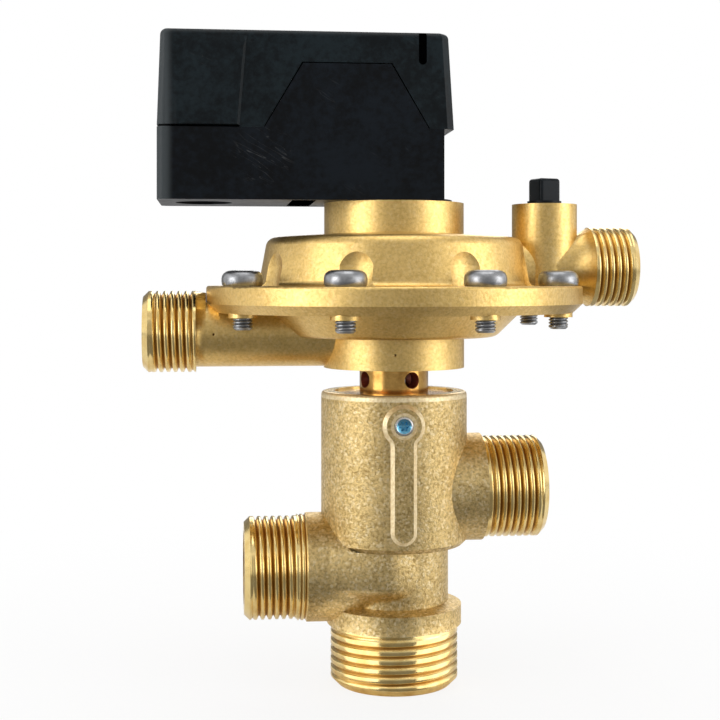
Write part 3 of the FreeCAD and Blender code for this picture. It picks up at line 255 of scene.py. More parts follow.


# Raised cast edges that are rubbed bright, with a painted highlight laid on them, and painted shade,
# coloured dark brown-red, inside the weep holes
blotched = {
    "worn_highlit_brass": dict(first=(0.97, 0.82, 0.53), second=(0.80, 0.62, 0.34), size=0.7, limits=(0.35, 0.65),
                       rough=0.32, blotchRough=0.12, relief=0.05, strength=0.7, metal=0.6),
    "painted_shade_bore": dict(first=(0.16, 0.03, 0.014), second=(0.36, 0.07, 0.03), size=1.5, limits=(0.3, 0.7),
                         rough=0.45, blotchRough=0.2, relief=0.02, strength=0.6, metal=0.0),
}


def makeBlotched(name):
    look = Look(**blotched[name])
    finish = Finish(name)
    blotch = finish.noise(look.size, detail=3.0, rough=0.6)
    colour = finish.mix(finish.ramp(blotch, *look.limits), look.first, look.second)
    rough = look.rough + blotch * look.blotchRough
    normal = finish.bump(blotch, look.relief, strength=look.strength)
    return finish.shade(colour, rough, normal, metal=look.metal)


platedSteel = {
    "zinc": dict(light=(0.39, 0.395, 0.405), dark=(0.15, 0.155, 0.165), rough=0.27),
    "blue": dict(light=(0.20, 0.52, 0.72), dark=(0.05, 0.22, 0.36), rough=0.20),
    "drawn": dict(light=(0.66, 0.66, 0.65), dark=(0.46, 0.46, 0.46), rough=0.24),
    "terminal": dict(light=(0.85, 0.70, 0.38), dark=(0.62, 0.48, 0.22), rough=0.28),
}
platedMarks = dict(cloud=1.6, cloudLimits=(0.3, 0.75), cloudShare=0.55, cloudRough=0.14, grain=0.3,
                   relief=0.012, grooveShare=0.15, grooveRough=0.12)


def makePlatedSteel(name):
    look = Look(**platedSteel[name], **platedMarks)
    finish = Finish("plated_" + name)
    cloud = finish.ramp(finish.noise(look.cloud, detail=3.0, rough=0.6), *look.cloudLimits)
    grain = finish.noise(look.grain)
    groove = finish.attribute("groove")
    # Painted shade: the thread's grooves darken the steel's tone
    tone = cloud * look.cloudShare + groove * look.grooveShare
    colour = finish.mix(tone, look.light, look.dark)
    rough = look.rough + cloud * look.cloudRough + groove * look.grooveRough
    return finish.shade(colour, rough, finish.bump(grain, look.relief, strength=0.6), metal=1.0)


coarseGrain = dict(grain=0.45, relief=0.02)
closeGrain = dict(grain=0.3, relief=0.01)
moulding = {
    "cover": dict(light=(0.0060, 0.0126, 0.0162), dark=(0.0008, 0.0028, 0.0042), rough=0.36, gloss=0.18,
                  **coarseGrain),
    "base": dict(light=(0.0032, 0.0062, 0.0104), dark=(0.0003, 0.0009, 0.0018), rough=0.36, gloss=0.16,
                 **coarseGrain),
    # The recess finish is near black: painted shade inside the slots
    "recess": dict(light=(0.0012, 0.0012, 0.0014), dark=(0.0008, 0.0008, 0.0009), rough=0.7, gloss=0.0,
                   **coarseGrain),
    "regulator": dict(light=(0.0052, 0.0088, 0.0122), dark=(0.0016, 0.0032, 0.0048), rough=0.30, gloss=0.17,
                      **closeGrain),
    "case": dict(light=(0.055, 0.055, 0.06), dark=(0.035, 0.035, 0.04), rough=0.45, gloss=0.4, **closeGrain),
    "white": dict(light=(0.80, 0.79, 0.75), dark=(0.70, 0.69, 0.64), rough=0.42, gloss=0.5, **closeGrain),
    "rubber": dict(light=(0.030, 0.030, 0.031), dark=(0.018, 0.018, 0.019), rough=0.6, gloss=0.3,
                   grain=0.25, relief=0.008),
}
mouldedMarks = dict(wide=14.0, wideShare=0.45, close=1.6, closeShare=0.55, cloudLimits=(0.38, 0.62),
                    cloudRough=0.08, grainRough=0.06)
# The box's left front corner is painted lighter: a painted highlight down its rounded edge
paintedCornerHighlight = Look(line=(-60.2, -16.6, 0), core=1.02, reach=3.4, colour=(0.050, 0.058, 0.062))
# Handling scratches lie thick on one spot of the box's front and thin elsewhere
boxScratches = Look(spot=(-35.0, -16.5, 136.0), core=3.6, reach=9.0, colour=(0.05, 0.053, 0.056),
                    slant=-0.55, drawnOut=0.12, size=2.0, sharpness=16000, thick=0.75, patch=13.0,
                    patchLimits=(0.60, 0.72), thin=0.35)


def makeMoulding(name):
    look = Look(**moulding[name], **mouldedMarks)
    finish = Finish("moulded_" + name)
    wide = finish.noise(look.wide, detail=3.0, rough=0.55) * look.wideShare
    close = finish.noise(look.close, detail=4.0, rough=0.7) * look.closeShare
    cloud = finish.ramp(wide + close, *look.cloudLimits)
    grain = finish.noise(look.grain)
    colour = finish.mix(cloud, look.dark, look.light)
    if name in ("cover", "base"):
        colour = finish.mix(scratchMask(finish), colour, boxScratches.colour)
        colour = finish.mix(cornerHighlightMask(finish), colour, paintedCornerHighlight.colour)
    rough = look.rough + cloud * look.cloudRough + grain * look.grainRough
    normal = finish.bump(grain, look.relief, strength=0.6)
    return finish.shade(colour, rough, normal, specular=look.gloss)


# Painted highlight: a lighter band down the box's left front corner
def cornerHighlightMask(finish):
    flat = finish.out("ShaderNodeVectorMath", "Vector", {"operation": "MULTIPLY"},
                      {0: finish.place, 1: (1, 1, 0)})
    length = finish.distance(paintedCornerHighlight.line, flat)
    return 1 - finish.ramp(length, paintedCornerHighlight.core, paintedCornerHighlight.reach)


# The scratches are thin lines along the middle value of a slanted, drawn-out noise
def scratchMask(finish):
    look = boxScratches
    turned = finish.out("ShaderNodeMapping", 0, None,
                        {"Vector": finish.place, "Rotation": (0, look.slant, 0)})
    drawnOut = finish.out("ShaderNodeMapping", 0, None, {"Vector": turned, "Scale": (look.drawnOut, 1, 1)})
    scuff = finish.noise(look.size, warp=0.8, place=drawnOut)
    line = finish.ramp(1 - (scuff - 0.5) * (scuff - 0.5) * look.sharpness, 0.0, 1.0)
    close = 1 - finish.ramp(finish.distance(look.spot), look.core, look.reach)
    thin = finish.ramp(finish.noise(look.patch), *look.patchLimits) * look.thin
    return line * (close * look.thick + thin * (1 - close))


finishes = {
    "cast_brass_dark": makeCastBrass("brown"),
    "cast_brass": makeCastBrass("golden"),
    "turned_brass": makeTurnedBrass("bright"),
    "neck": makeTurnedBrass("neck"),
    "worn_highlit": makeBlotched("worn_highlit_brass"),
    "painted_shade": makeBlotched("painted_shade_bore"),
    "zinc_steel": makePlatedSteel("zinc"),
    "blue_zinc_steel": makePlatedSteel("blue"),
    "stainless_steel": makePlatedSteel("drawn"),
    "terminal_brass": makePlatedSteel("terminal"),
    "black_rubber": makeMoulding("rubber"),
    "box_plastic": makeMoulding("cover"),
    "base": makeMoulding("base"),
    "recess": makeMoulding("recess"),
    "regulator_plastic": makeMoulding("regulator"),
    "switch_case": makeMoulding("case"),
    "white_plastic": makeMoulding("white"),
}
slotOf = {part["node"]: part["material_slot"] for part in frame["record"]["subparts"]}
for nodeName, nodeObject in frame["nodes"].items():
    nodeObject.data.materials.clear()
    nodeObject.data.materials.append(finishes[slotOf[nodeName]])
print("finishes made:", len(finishes))


def spotOf(face):
    return face.calc_center_median() / millimetre


# Pieces: a copy of a CAD node's mesh is welded, worked on and put in the node's place
def weldedCopy(nodeName):
    source = frame["nodes"][nodeName].data
    mesh = bmesh.new()
    mesh.from_mesh(source)
    kept = mesh.loops.layers.float_vector.new("cadNormal")
    corners = [loop for face in mesh.faces for loop in face.loops]
    for loop, corner in zip(corners, source.corner_normals):
        loop[kept] = corner.vector
    bmesh.ops.remove_doubles(mesh, verts=mesh.verts, dist=weldGap * millimetre)
    mesh.verts.layers.float.new("groove")
    return mesh


# Corners that came from the CAD keep its smooth normals, and new ones get their own
def settle(mesh, pieceName, sharpAngle=32):
    data = bpy.data.meshes.new(pieceName)
    bmesh.ops.recalc_face_normals(mesh, faces=mesh.faces)
    mesh.to_mesh(data)
    mesh.free()
    data.shade_smooth()
    data.set_sharp_from_angle(angle=math.radians(sharpAngle))
    if "cadNormal" in data.attributes:
        normals = [corner.vector.copy() for corner in data.attributes["cadNormal"].data]
        data.attributes.remove(data.attributes["cadNormal"])
        data.normals_split_custom_set(normals)
    return data


def addObject(name, data):
    made = bpy.data.objects.new(name, data)
    scene.collection.objects.link(made)
    return made


# A piece rides on its node's body unless another hold is given
def standIn(data, nodeName, slots, hold=None):
    for slotName in slots:
        data.materials.append(finishes[slotName])
    piece = addObject(data.name, data)
    if hold:
        hold(piece)
    else:
        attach(piece, frame["nodes"][nodeName]["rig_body"])
    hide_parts(nodeName)
    return piece


# One turn of a rounded pipe thread: place along the pitch and share of the depth
threadForm = [(0.0, 0.0), (0.16, 0.02), (0.24, 0.16), (0.40, 0.84),
              (0.50, 1.0), (0.60, 0.84), (0.76, 0.16), (0.84, 0.02)]
# The same with wide crests and narrow grooves
flatForm = [(0.0, 0.0), (0.22, 0.0), (0.27, 0.08), (0.42, 0.88),
            (0.50, 1.0), (0.58, 0.88), (0.73, 0.08), (0.78, 0.0)]


def smooth(value):
    value = min(1.0, max(0.0, value))
    return value * value * (3 - 2 * value)


# The angle of a point round an axis, from a hair under nothing to a hair under one turn
def roundAngle(upward, across):
    hair = 0.001
    return (math.atan2(upward, across) + hair) % math.tau - hair


# Joins two rings of points, each in order round the axis, with a strip of triangles
def zipRings(mesh, first, second, turn):
    firstTurns = [turn(vert) for vert in first] + [turn(first[0]) + math.tau]
    secondTurns = [turn(vert) for vert in second] + [turn(second[0]) + math.tau]
    made = []
    here = 0
    there = 0
    while here < len(first) or there < len(second):
        corner = first[here % len(first)]
        other = second[there % len(second)]
        if there == len(second) or (here < len(first) and firstTurns[here + 1] <= secondTurns[there + 1]):
            here += 1
            made.append(mesh.faces.new((corner, first[here % len(first)], other)))
        else:
            there += 1
            made.append(mesh.faces.new((corner, second[there % len(second)], other)))
    return made


# Faces go, and the edges that only they used
def takeAway(mesh, faces):
    bmesh.ops.delete(mesh, geom=faces, context="FACES_ONLY")
    bare = [edge for edge in mesh.edges if not edge.link_faces]
    bmesh.ops.delete(mesh, geom=bare, context="EDGES")


# New faces with these corners, without the ones that fall together
def addFace(mesh, corners):
    apart = list(dict.fromkeys(corners))
    return [mesh.faces.new(apart)] if len(apart) > 2 else []


# Cuts a thread, or plain grooves, into a round wall: the wall's faces go and a grooved skin joins its rims
def cutThread(mesh, thread):
    axis = Vector(thread["axis"])
    centre = Vector(thread["centre"]) * millimetre
    across = axis.orthogonal().normalized()
    upward = axis.cross(across)
    low = thread["from"] * millimetre
    high = thread["to"] * millimetre
    radius = thread["radius"] * millimetre
    pitch = thread["pitch"] * millimetre
    depth = thread["depth"] * millimetre
    helix = thread.get("helix", 1)
    form = thread.get("form", threadForm)
    near = touch * millimetre
    margin = 2 * near

    def along(vert):
        return (vert.co - centre).dot(axis)

    def isWall(vert):
        place = along(vert)
        reach = (vert.co - centre - axis * place).length
        return low - near < place < high + near and abs(reach - radius) < near

    def turn(vert):
        offset = vert.co - centre
        return roundAngle(offset.dot(upward), offset.dot(across))

    def rimAt(level):
        rim = [vert for vert in wallVerts if vert.is_valid and abs(along(vert) - level) < near]
        return sorted(rim, key=turn)

    wall = [face for face in mesh.faces if all(isWall(vert) for vert in face.verts)]
    wallVerts = {vert for face in wall for vert in face.verts}
    takeAway(mesh, wall)
    lowRim = rimAt(low)
    highRim = rimAt(high)
    groove = mesh.verts.layers.float["groove"]
    steps = len(form)
    rows = int((high - low) / pitch + 3) * steps
    lowRing = []
    highRing = []
    columns = []
    for number in range(thread["columns"]):
        angle = math.tau * number / thread["columns"]
        outward = across * math.cos(angle) + upward * math.sin(angle)
        lowRing.append(mesh.verts.new(centre + axis * (low + margin) + outward * radius))
        highRing.append(mesh.verts.new(centre + axis * (high - margin) + outward * radius))
        column = []
        for row in range(rows):
            step, share = form[row % steps]
            place = low + pitch * (row // steps + step - 1 + helix * angle / math.tau)
            fade = smooth((place - low) / (thread["lead"] * millimetre))
            fade *= smooth((high - place) / (thread["start"] * millimetre))
            if place <= low + margin * 2:
                column.append(lowRing[-1])
            elif place >= high - margin * 2:
                column.append(highRing[-1])
            else:
                fresh = mesh.verts.new(centre + axis * place + outward * (radius - depth * share * fade))
                fresh[groove] = share * fade
                column.append(fresh)
        columns.append(column)
    made = zipRings(mesh, lowRim, lowRing, turn) + zipRings(mesh, highRing, highRim, turn)
    for number, column in enumerate(columns):
        if number + 1 < len(columns):
            beside = columns[number + 1]
        else:
            beside = columns[0][helix * steps:] + [highRing[0]] * helix * steps
        for row in range(rows - 1):
            made += addFace(mesh, (column[row], beside[row], beside[row + 1], column[row + 1]))
    loose = [vert for vert in mesh.verts if not vert.link_faces]
    bmesh.ops.delete(mesh, geom=loose, context="VERTS")
    print("thread", thread["name"], "rims", len(lowRim), len(highRim), "faces", len(made))
    return made


oneInch = {"radius": 16.62, "pitch": 2.309, "depth": 0.8, "columns": 144, "form": flatForm}
threeQuarterInch = {"radius": 13.22, "pitch": 1.814, "depth": 1.1, "columns": 128}
halfInch = {"radius": 10.48, "pitch": 1.814, "depth": 1.1, "columns": 112}
leftLevel = 30.25
rightLevel = 50.6
bodyPorts = [
    {"name": "bottom", "axis": (0, 0, -1), "centre": (0, 0, 0), "from": -15.6, "to": -1.8,
     "lead": 2.2, "start": 1.6, **oneInch},
    {"name": "left", "axis": (-1, 0, 0), "centre": (0, 0, leftLevel), "from": 25.6, "to": 37.9,
     "lead": 1.6, "start": 1.6, **threeQuarterInch},
    {"name": "right", "axis": (1, 0, 0), "centre": (0, 0, rightLevel), "from": 22.8, "to": 37.4,
     "lead": 2.4, "start": 1.2, **threeQuarterInch},
    {"name": "left ring", "axis": (-1, 0, 0), "centre": (0, 0, leftLevel), "from": 23.2, "to": 25.6,
     "lead": 0.25, "start": 0.25, "radius": 13.6, "pitch": 1.2, "depth": 0.4, "columns": 128, "helix": 0},
]
barrelRim = Look(radius=19.1, top=76.1, size=1.6, fullness=3.4, rows=8, columns=120, wornFrom=17.0,
                 flat=0.97)


def dressValveBody():
    mesh = weldedCopy("valve_body")
    threads = set()
    for thread in bodyPorts:
        threads.update(cutThread(mesh, thread))
    roundRim(mesh)
    easeBranch(mesh)
    for face in mesh.faces:
        # Pad edges, the screw recess and the barrel rim take the worn brass with its painted highlight
        if isPadEdge(face) or isRim(face):
            face.material_index = 2
        elif face in threads or isMachinedBody(face):
            face.material_index = 1
    return standIn(settle(mesh, "body_casting"), "valve_body", ["cast_brass_dark", "turned_brass", "worn_highlit"])


# The hollow is full between the limits and fades out over the fade lengths
branchBlend = Look(neckRadius=14.2, branchRadius=14.0, low=21.5, high=44.3, left=-23.3, right=7.0,
                   inset=1.0, fadeLow=5.0, fadeHigh=8.0, fadeLeft=7.0, fadeRight=10.0, soft=11.0, hard=0.05,
                   grain=1.2, cuts=5, rounds=5, step=0.01, sameWall=0.995, leastSlope=0.2)


# The left branch runs into the neck in a wide cast hollow, and edges it shares with other faces slide along
# those faces
def easeBranch(mesh):
    look = branchBlend

    def neckDepth(spot):
        return math.hypot(spot.x, spot.y) - look.neckRadius

    def branchDepth(spot):
        return math.hypot(max(spot.x, 0), spot.y, spot.z - leftLevel) - look.branchRadius

    def depthAt(spot):
        neck = neckDepth(spot)
        branch = branchDepth(spot)
        fade = smooth((look.right - look.inset - spot.x) / look.fadeRight)
        fade *= smooth((spot.x - look.left) / look.fadeLeft)
        fade *= smooth((spot.z - look.low - look.inset) / look.fadeLow)
        fade *= smooth((look.high - spot.z) / look.fadeHigh)
        soft = look.hard + look.soft * fade
        share = min(1.0, max(0.0, 0.5 + 0.5 * (branch - neck) / soft))
        return branch + (neck - branch) * share - soft * share * (1 - share)

    def slopeAt(spot):
        step = look.step
        rise = [depthAt(spot + Vector(shift) * step) - depthAt(spot - Vector(shift) * step)
                for shift in ((1, 0, 0), (0, 1, 0), (0, 0, 1))]
        return Vector(rise) / (2 * step)

    def inZone(vert):
        spot = vert.co / millimetre
        between = look.left - touch < spot.x < look.right
        between = between and look.low - touch < spot.z < look.high + touch
        return between and min(abs(neckDepth(spot)), abs(branchDepth(spot))) < touch

    zone = mesh.faces.layers.int.new("zone")
    for face in mesh.faces:
        face[zone] = 1 if all(inZone(vert) for vert in face.verts) else 0
    for cut in range(look.cuts):
        longEdges = {edge for face in mesh.faces if face[zone] for edge in face.edges
                     if edge.calc_length() > look.grain * millimetre}
        bmesh.ops.subdivide_edges(mesh, edges=list(longEdges), cuts=1)
        bmesh.ops.triangulate(mesh, faces=[face for face in mesh.faces if len(face.verts) > 4])
    mesh.normal_update()
    eased = {vert for face in mesh.faces if face[zone] for vert in face.verts}
    moves = {}
    for vert in eased:
        walls = []
        for face in vert.link_faces:
            if not face[zone] and all(abs(face.normal.dot(wall)) < look.sameWall for wall in walls):
                walls.append(face.normal)
        spot = vert.co / millimetre
        for turn in range(look.rounds):
            slope = slopeAt(spot)
            for wall in walls + walls:
                slope = slope - wall * slope.dot(wall)
            if slope.length > look.leastSlope:
                spot -= slope * depthAt(spot) / slope.length_squared
        moves[vert] = spot
    kept = mesh.loops.layers.float_vector["cadNormal"]
    for vert, spot in moves.items():
        turned = math.atan2(spot.y, spot.x) - math.atan2(vert.co.y, vert.co.x)
        slope = slopeAt(spot).normalized()
        for loop in vert.link_loops:
            loop[kept] = slope if loop.face[zone] else Matrix.Rotation(turned, 3, "Z") @ loop[kept]
    for vert, spot in moves.items():
        vert.co = spot * millimetre
    print("branch eased:", len(moves), "points")


# The rim's bevel becomes a full turned rounding between the same two circles
def roundRim(mesh):
    look = barrelRim
    size = look.size
    inner = look.radius - size
    level = look.top - size

    def turn(vert):
        return roundAngle(vert.co.y, vert.co.x)

    def ringAt(radius, height):
        return sorted((vert for vert in mesh.verts
                       if abs(math.hypot(vert.co.x, vert.co.y) / millimetre - radius) < touch
                       and abs(vert.co.z / millimetre - height) < touch), key=turn)

    def onBevel(vert):
        reach = math.hypot(vert.co.x, vert.co.y) / millimetre - look.radius
        rise = vert.co.z / millimetre - level
        return abs(reach + rise) < 2 * touch and -touch < rise < size + touch

    takeAway(mesh, [face for face in mesh.faces if all(onBevel(vert) for vert in face.verts)])
    lowRim = ringAt(look.radius, level)
    highRim = ringAt(inner, look.top)
    rings = []
    for row in range(1, look.rows):
        lift = math.pi / 2 * row / look.rows
        reach = inner + size * math.cos(lift) ** (2 / look.fullness)
        height = level + size * math.sin(lift) ** (2 / look.fullness)
        ring = []
        for number in range(look.columns):
            angle = math.tau * number / look.columns
            spot = (reach * math.cos(angle), reach * math.sin(angle), height)
            ring.append(mesh.verts.new(Vector(spot) * millimetre))
        rings.append(ring)
    made = zipRings(mesh, lowRim, rings[0], turn) + zipRings(mesh, rings[-1], highRim, turn)
    for lower, upper in zip(rings, rings[1:]):
        for number in range(look.columns):
            beside = (number + 1) % look.columns
            made.append(mesh.faces.new((lower[number], lower[beside], upper[beside], upper[number])))
    kept = mesh.loops.layers.float_vector["cadNormal"]
    for face in made:
        for loop in face.loops:
            spot = loop.vert.co / millimetre
            flat = Vector((spot.x, spot.y, 0)).normalized()
            outward = max(0, (math.hypot(spot.x, spot.y) - inner) / size) ** (look.fullness - 1)
            upward = max(0, (spot.z - level) / size) ** (look.fullness - 1)
            loop[kept] = (flat * outward + Vector((0, 0, upward))).normalized()
    print("rim rounded:", len(lowRim), len(highRim), "points")


padEdge = Look(front=-18.0, half=6.5, low=37.8, high=75.0, screwLevel=68.6, recess=3.4, recessFront=-19.0,
               leastSlope=0.3, mostSlope=0.93)


def isPadEdge(face):
    look = padEdge
    spot = spotOf(face)
    onPad = spot.y <= look.front and abs(spot.x) <= look.half and look.low < spot.z < look.high
    atScrew = math.hypot(spot.x, spot.z - look.screwLevel) < look.recess
    inRecess = atScrew and spot.y < look.recessFront
    return onPad and (inRecess or look.leastSlope < abs(face.normal.y) < look.mostSlope)


def isRim(face):
    look = barrelRim
    spot = spotOf(face)
    onTop = spot.z > look.top - look.size and math.hypot(spot.x, spot.y) > look.wornFrom
    return onTop and face.normal.z < look.flat


machinedBody = Look(low=15.7, high=74.4, left=-23.3, right=22.9, neckBore=12.9, barrelBore=15.7,
                    barrelFloor=39.9, portBore=9.6)


def isMachinedBody(face):
    look = machinedBody
    spot = spotOf(face)
    reach = math.hypot(spot.x, spot.y)
    inBore = reach < look.neckBore or (reach < look.barrelBore and spot.z > look.barrelFloor)
    portLevel = leftLevel if spot.x < 0 else rightLevel
    inPort = math.hypot(spot.y, spot.z - portLevel) < look.portBore
    between = look.low < spot.z < look.high and look.left < spot.x < look.right
    return inBore or inPort or not between


dressValveBody()

inletLevel = 91.7
outletLevel = 108.5
lowerPort = {"name": "inlet", "axis": (-1, 0, 0), "centre": (0, 0, inletLevel), "from": 51.6, "to": 63.7,
             "lead": 1.6, "start": 2.6, **halfInch}
upperPort = {"name": "outlet", "axis": (1, 0, 0), "centre": (0, 0, outletLevel), "from": 51.8, "to": 62.3,
             "lead": 1.4, "start": 1.0, **halfInch}


def reachAt(vert, level):
    return math.hypot(vert.co.y, vert.co.z - level * millimetre) / millimetre


def widen(vert, level, radius):
    wider = radius / reachAt(vert, level)
    middle = level * millimetre
    vert.co = (vert.co.x, vert.co.y * wider, middle + (vert.co.z - middle) * wider)


# These faces give up the normals of the CAD for their own
def freeNormals(mesh, faces):
    kept = mesh.loops.layers.float_vector["cadNormal"]
    for face in faces:
        for loop in face.loops:
            loop[kept] = (0, 0, 0)


outletNeck = Look(left=40.0, shoulder=51.8, pipe=8.5, wide=10.35)


# The outlet's neck widens into the thread as a cone
def flareNeck(mesh):
    look = outletNeck

    def onNeck(vert):
        between = look.left < vert.co.x / millimetre < look.shoulder + touch
        return between and abs(reachAt(vert, outletLevel) - look.pipe) < touch

    neck = [face for face in mesh.faces if all(onNeck(vert) for vert in face.verts)]
    freeNormals(mesh, neck)
    for vert in {vert for face in neck for vert in face.verts}:
        if abs(vert.co.x / millimetre - look.shoulder) < touch:
            widen(vert, outletLevel, look.wide)
    print("neck flared:", len(neck), "faces")


inletNeck = Look(relief=-51.2, foot=-49.05, shoulder=-51.6, flat=99.2, pipe=9.1, wide=10.35, steepness=1.5,
                 crown=0.9, turned=97.7)


# The inlet's thread runs out in a short cone on the pipe, which on top reaches the flange
def fillInlet(mesh):
    look = inletNeck

    def across(vert):
        return vert.co.x / millimetre

    def height(vert):
        return vert.co.z / millimetre

    def onEnd(face):
        onPipe = all(abs(reachAt(vert, inletLevel) - look.pipe) < touch for vert in face.verts)
        return onPipe and any(across(vert) < look.foot - touch for vert in face.verts)

    for vert in mesh.verts:
        inRelief = abs(across(vert) - look.relief) < touch and height(vert) > look.flat - touch
        if inRelief and reachAt(vert, inletLevel) < look.pipe + touch:
            vert.co.x = look.foot * millimetre
    wall = [face for face in mesh.faces if onEnd(face)]
    edges = {edge for face in wall for edge in face.edges}
    verts = {vert for face in wall for vert in face.verts}
    bmesh.ops.bisect_plane(mesh, geom=[*wall, *edges, *verts], dist=weldGap * millimetre,
                           plane_co=(look.foot * millimetre, 0, 0), plane_no=(1, 0, 0))
    neck = [face for face in mesh.faces if onEnd(face)]
    freeNormals(mesh, neck)
    fullHeight = inletLevel + look.pipe - look.flat
    for vert in {vert for face in neck for vert in face.verts}:
        if abs(across(vert) - look.shoulder) < touch:
            rise = max(0.0, (height(vert) - inletLevel) / look.pipe) ** look.steepness
            widen(vert, inletLevel, look.pipe + (look.wide - look.pipe) * rise)
        elif height(vert) > look.flat:
            rise = min(1.0, (height(vert) - look.flat) / fullHeight)
            widen(vert, inletLevel, look.pipe + look.crown * rise)
    print("inlet filled:", len(neck), "faces")


def dressHousing(nodeName, pieceName, thread, isMachined, shape):
    mesh = weldedCopy(nodeName)
    shape(mesh)
    threads = set(cutThread(mesh, thread))
    for face in mesh.faces:
        face.material_index = 1 if face in threads or isMachined(face) else 0
    return standIn(settle(mesh, pieceName), nodeName, ["cast_brass", "turned_brass"])


machinedHousing = Look(inlet=-51.5, parting=99.15, guide=8.2, guideTop=93.0, outlet=51.7, collarTop=125.1,
                       flat=0.9)


def isMachinedLower(face):
    look = machinedHousing
    spot = spotOf(face)
    onNeck = spot.x < inletNeck.foot + touch and spot.z > inletNeck.turned
    inGuide = math.hypot(spot.x, spot.y) < look.guide and spot.z < look.guideTop
    return onNeck or inGuide or spot.x < look.inlet or spot.z > look.parting


def isMachinedUpper(face):
    look = machinedHousing
    spot = spotOf(face)
    return spot.x > look.outlet or (spot.z > look.collarTop and face.normal.z > look.flat)


dressHousing("lower_housing", "lower_housing_casting", lowerPort, isMachinedLower, fillInlet)
dressHousing("upper_housing", "upper_housing_casting", upperPort, isMachinedUpper, flareNeck)
weepHoles = Look(reach=8.85, low=75.6, high=82.6)


# The vent neck takes the darker neck copy of turned brass, a painted shade
def dressVentNeck():
    look = weepHoles
    mesh = weldedCopy("vent_neck")
    # Faces inside the weep holes take painted shade, coloured dark brown-red
    for face in mesh.faces:
        spot = spotOf(face)
        inside = math.hypot(spot.x, spot.y) < look.reach and look.low < spot.z < look.high
        face.material_index = 1 if inside else 0
    return standIn(settle(mesh, "vent_neck_turned"), "vent_neck", ["neck", "painted_shade"])


dressVentNeck()
print("castings dressed")


# A turned form: rows of radius and height, end to end, and a mark where a row has the recess's form
def latheRows(mesh, rows, segments, recess=None, closed=False):
    rings = []
    for radius, height, *marked in rows:
        ring = []
        if radius == 0:
            ring.append(mesh.verts.new((0, 0, height * millimetre)))
        else:
            for number in range(segments):
                angle = math.tau * number / segments
                reach = recess(angle, radius) if marked else radius
                spot = (reach * math.cos(angle), reach * math.sin(angle), height)
                ring.append(mesh.verts.new(Vector(spot) * millimetre))
        rings.append(ring)
    following = rings[1:] + rings[:1] if closed else rings[1:]
    for lower, upper in zip(rings, following):
        for number in range(segments):
            beside = (number + 1) % segments
            addFace(mesh, (lower[number % len(lower)], lower[beside % len(lower)],
                           upper[beside % len(upper)], upper[number % len(upper)]))


def crossRecess(angle, radius):
    armWidth = 0.27
    hair = 0.0001
    half = radius * armWidth
    cosine = max(abs(math.cos(angle)), hair)
    sine = max(abs(math.sin(angle)), hair)
    return max(min(radius / cosine, half / sine), min(radius / sine, half / cosine))


def lobeRecess(angle, radius):
    lobes = 6
    swing = 0.14
    return radius * (1 - swing + swing * math.cos(lobes * angle))


# The crown's rows are inset from the head's radius and height over its seat
flangeScrew = Look(count=8, turn=37, head=5.1, headHeight=3.9, shank=2.45, length=10.9,
                   crown=[(0.35, 0), (0.08, 0.35), (0, 1.1), (0, 1.9), (0.14, 2.6), (0.5, 3.2),
                          (1.05, 3.6), (1.8, 3.82)],
                   tip=0.5, tipInset=0.55, threadEnd=5.5, recess=2.55, recessDepth=1.9, lip=0.08,
                   lipDrop=0.06, wallShare=0.9, wallDepth=0.6, floorShare=0.45, point=0.2, segments=64,
                   sharpAngle=40, thread=dict(pitch=0.8, depth=0.42, lead=0.8, start=0.5, columns=36))


def dressFlangeScrew(number):
    look = flangeScrew
    nodeName = f"flange_screw_{number}"
    low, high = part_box(nodeName)
    head = look.head
    rise = look.headHeight
    shank = look.shank
    recess = look.recess
    deep = look.recessDepth
    tail = -look.length
    mesh = bmesh.new()
    mesh.verts.layers.float.new("groove")
    crown = [(head - inset, height) for inset, height in look.crown]
    latheRows(mesh, [
        (0, tail), (shank - look.tipInset, tail), (shank, tail + look.tip),
        (shank, tail + look.threadEnd), (shank, 0), *crown,
        (recess + look.lip, rise), (recess, rise - look.lipDrop, True),
        (recess * look.wallShare, rise - deep * look.wallDepth, True),
        (recess * look.floorShare, rise - deep, True), (0, rise - deep - look.point),
    ], look.segments, crossRecess)
    cutThread(mesh, {"name": nodeName, "axis": (0, 0, -1), "centre": (0, 0, 0), "radius": shank,
                     "from": -tail - look.threadEnd, "to": -tail - look.tip, **look.thread})
    centre = (low + high) / 2
    turned = Matrix.Rotation(math.radians(look.turn * number), 4, "Z")
    seat = Matrix.Translation((centre.x, centre.y, high.z - rise * millimetre))
    bmesh.ops.transform(mesh, matrix=seat @ turned, verts=mesh.verts)
    data = settle(mesh, nodeName + "_turned", look.sharpAngle)
    return standIn(data, nodeName, ["zinc_steel"])


lockScrew = Look(radius=2.4, tip=0.5, bevel=0.45, edge=0.12, rim=1.85, dish=0.05, lip=0.2, socket=1.35,
                 mouth=0.3, socketDepth=2.3, point=0.5, segments=72, sharpAngle=40)


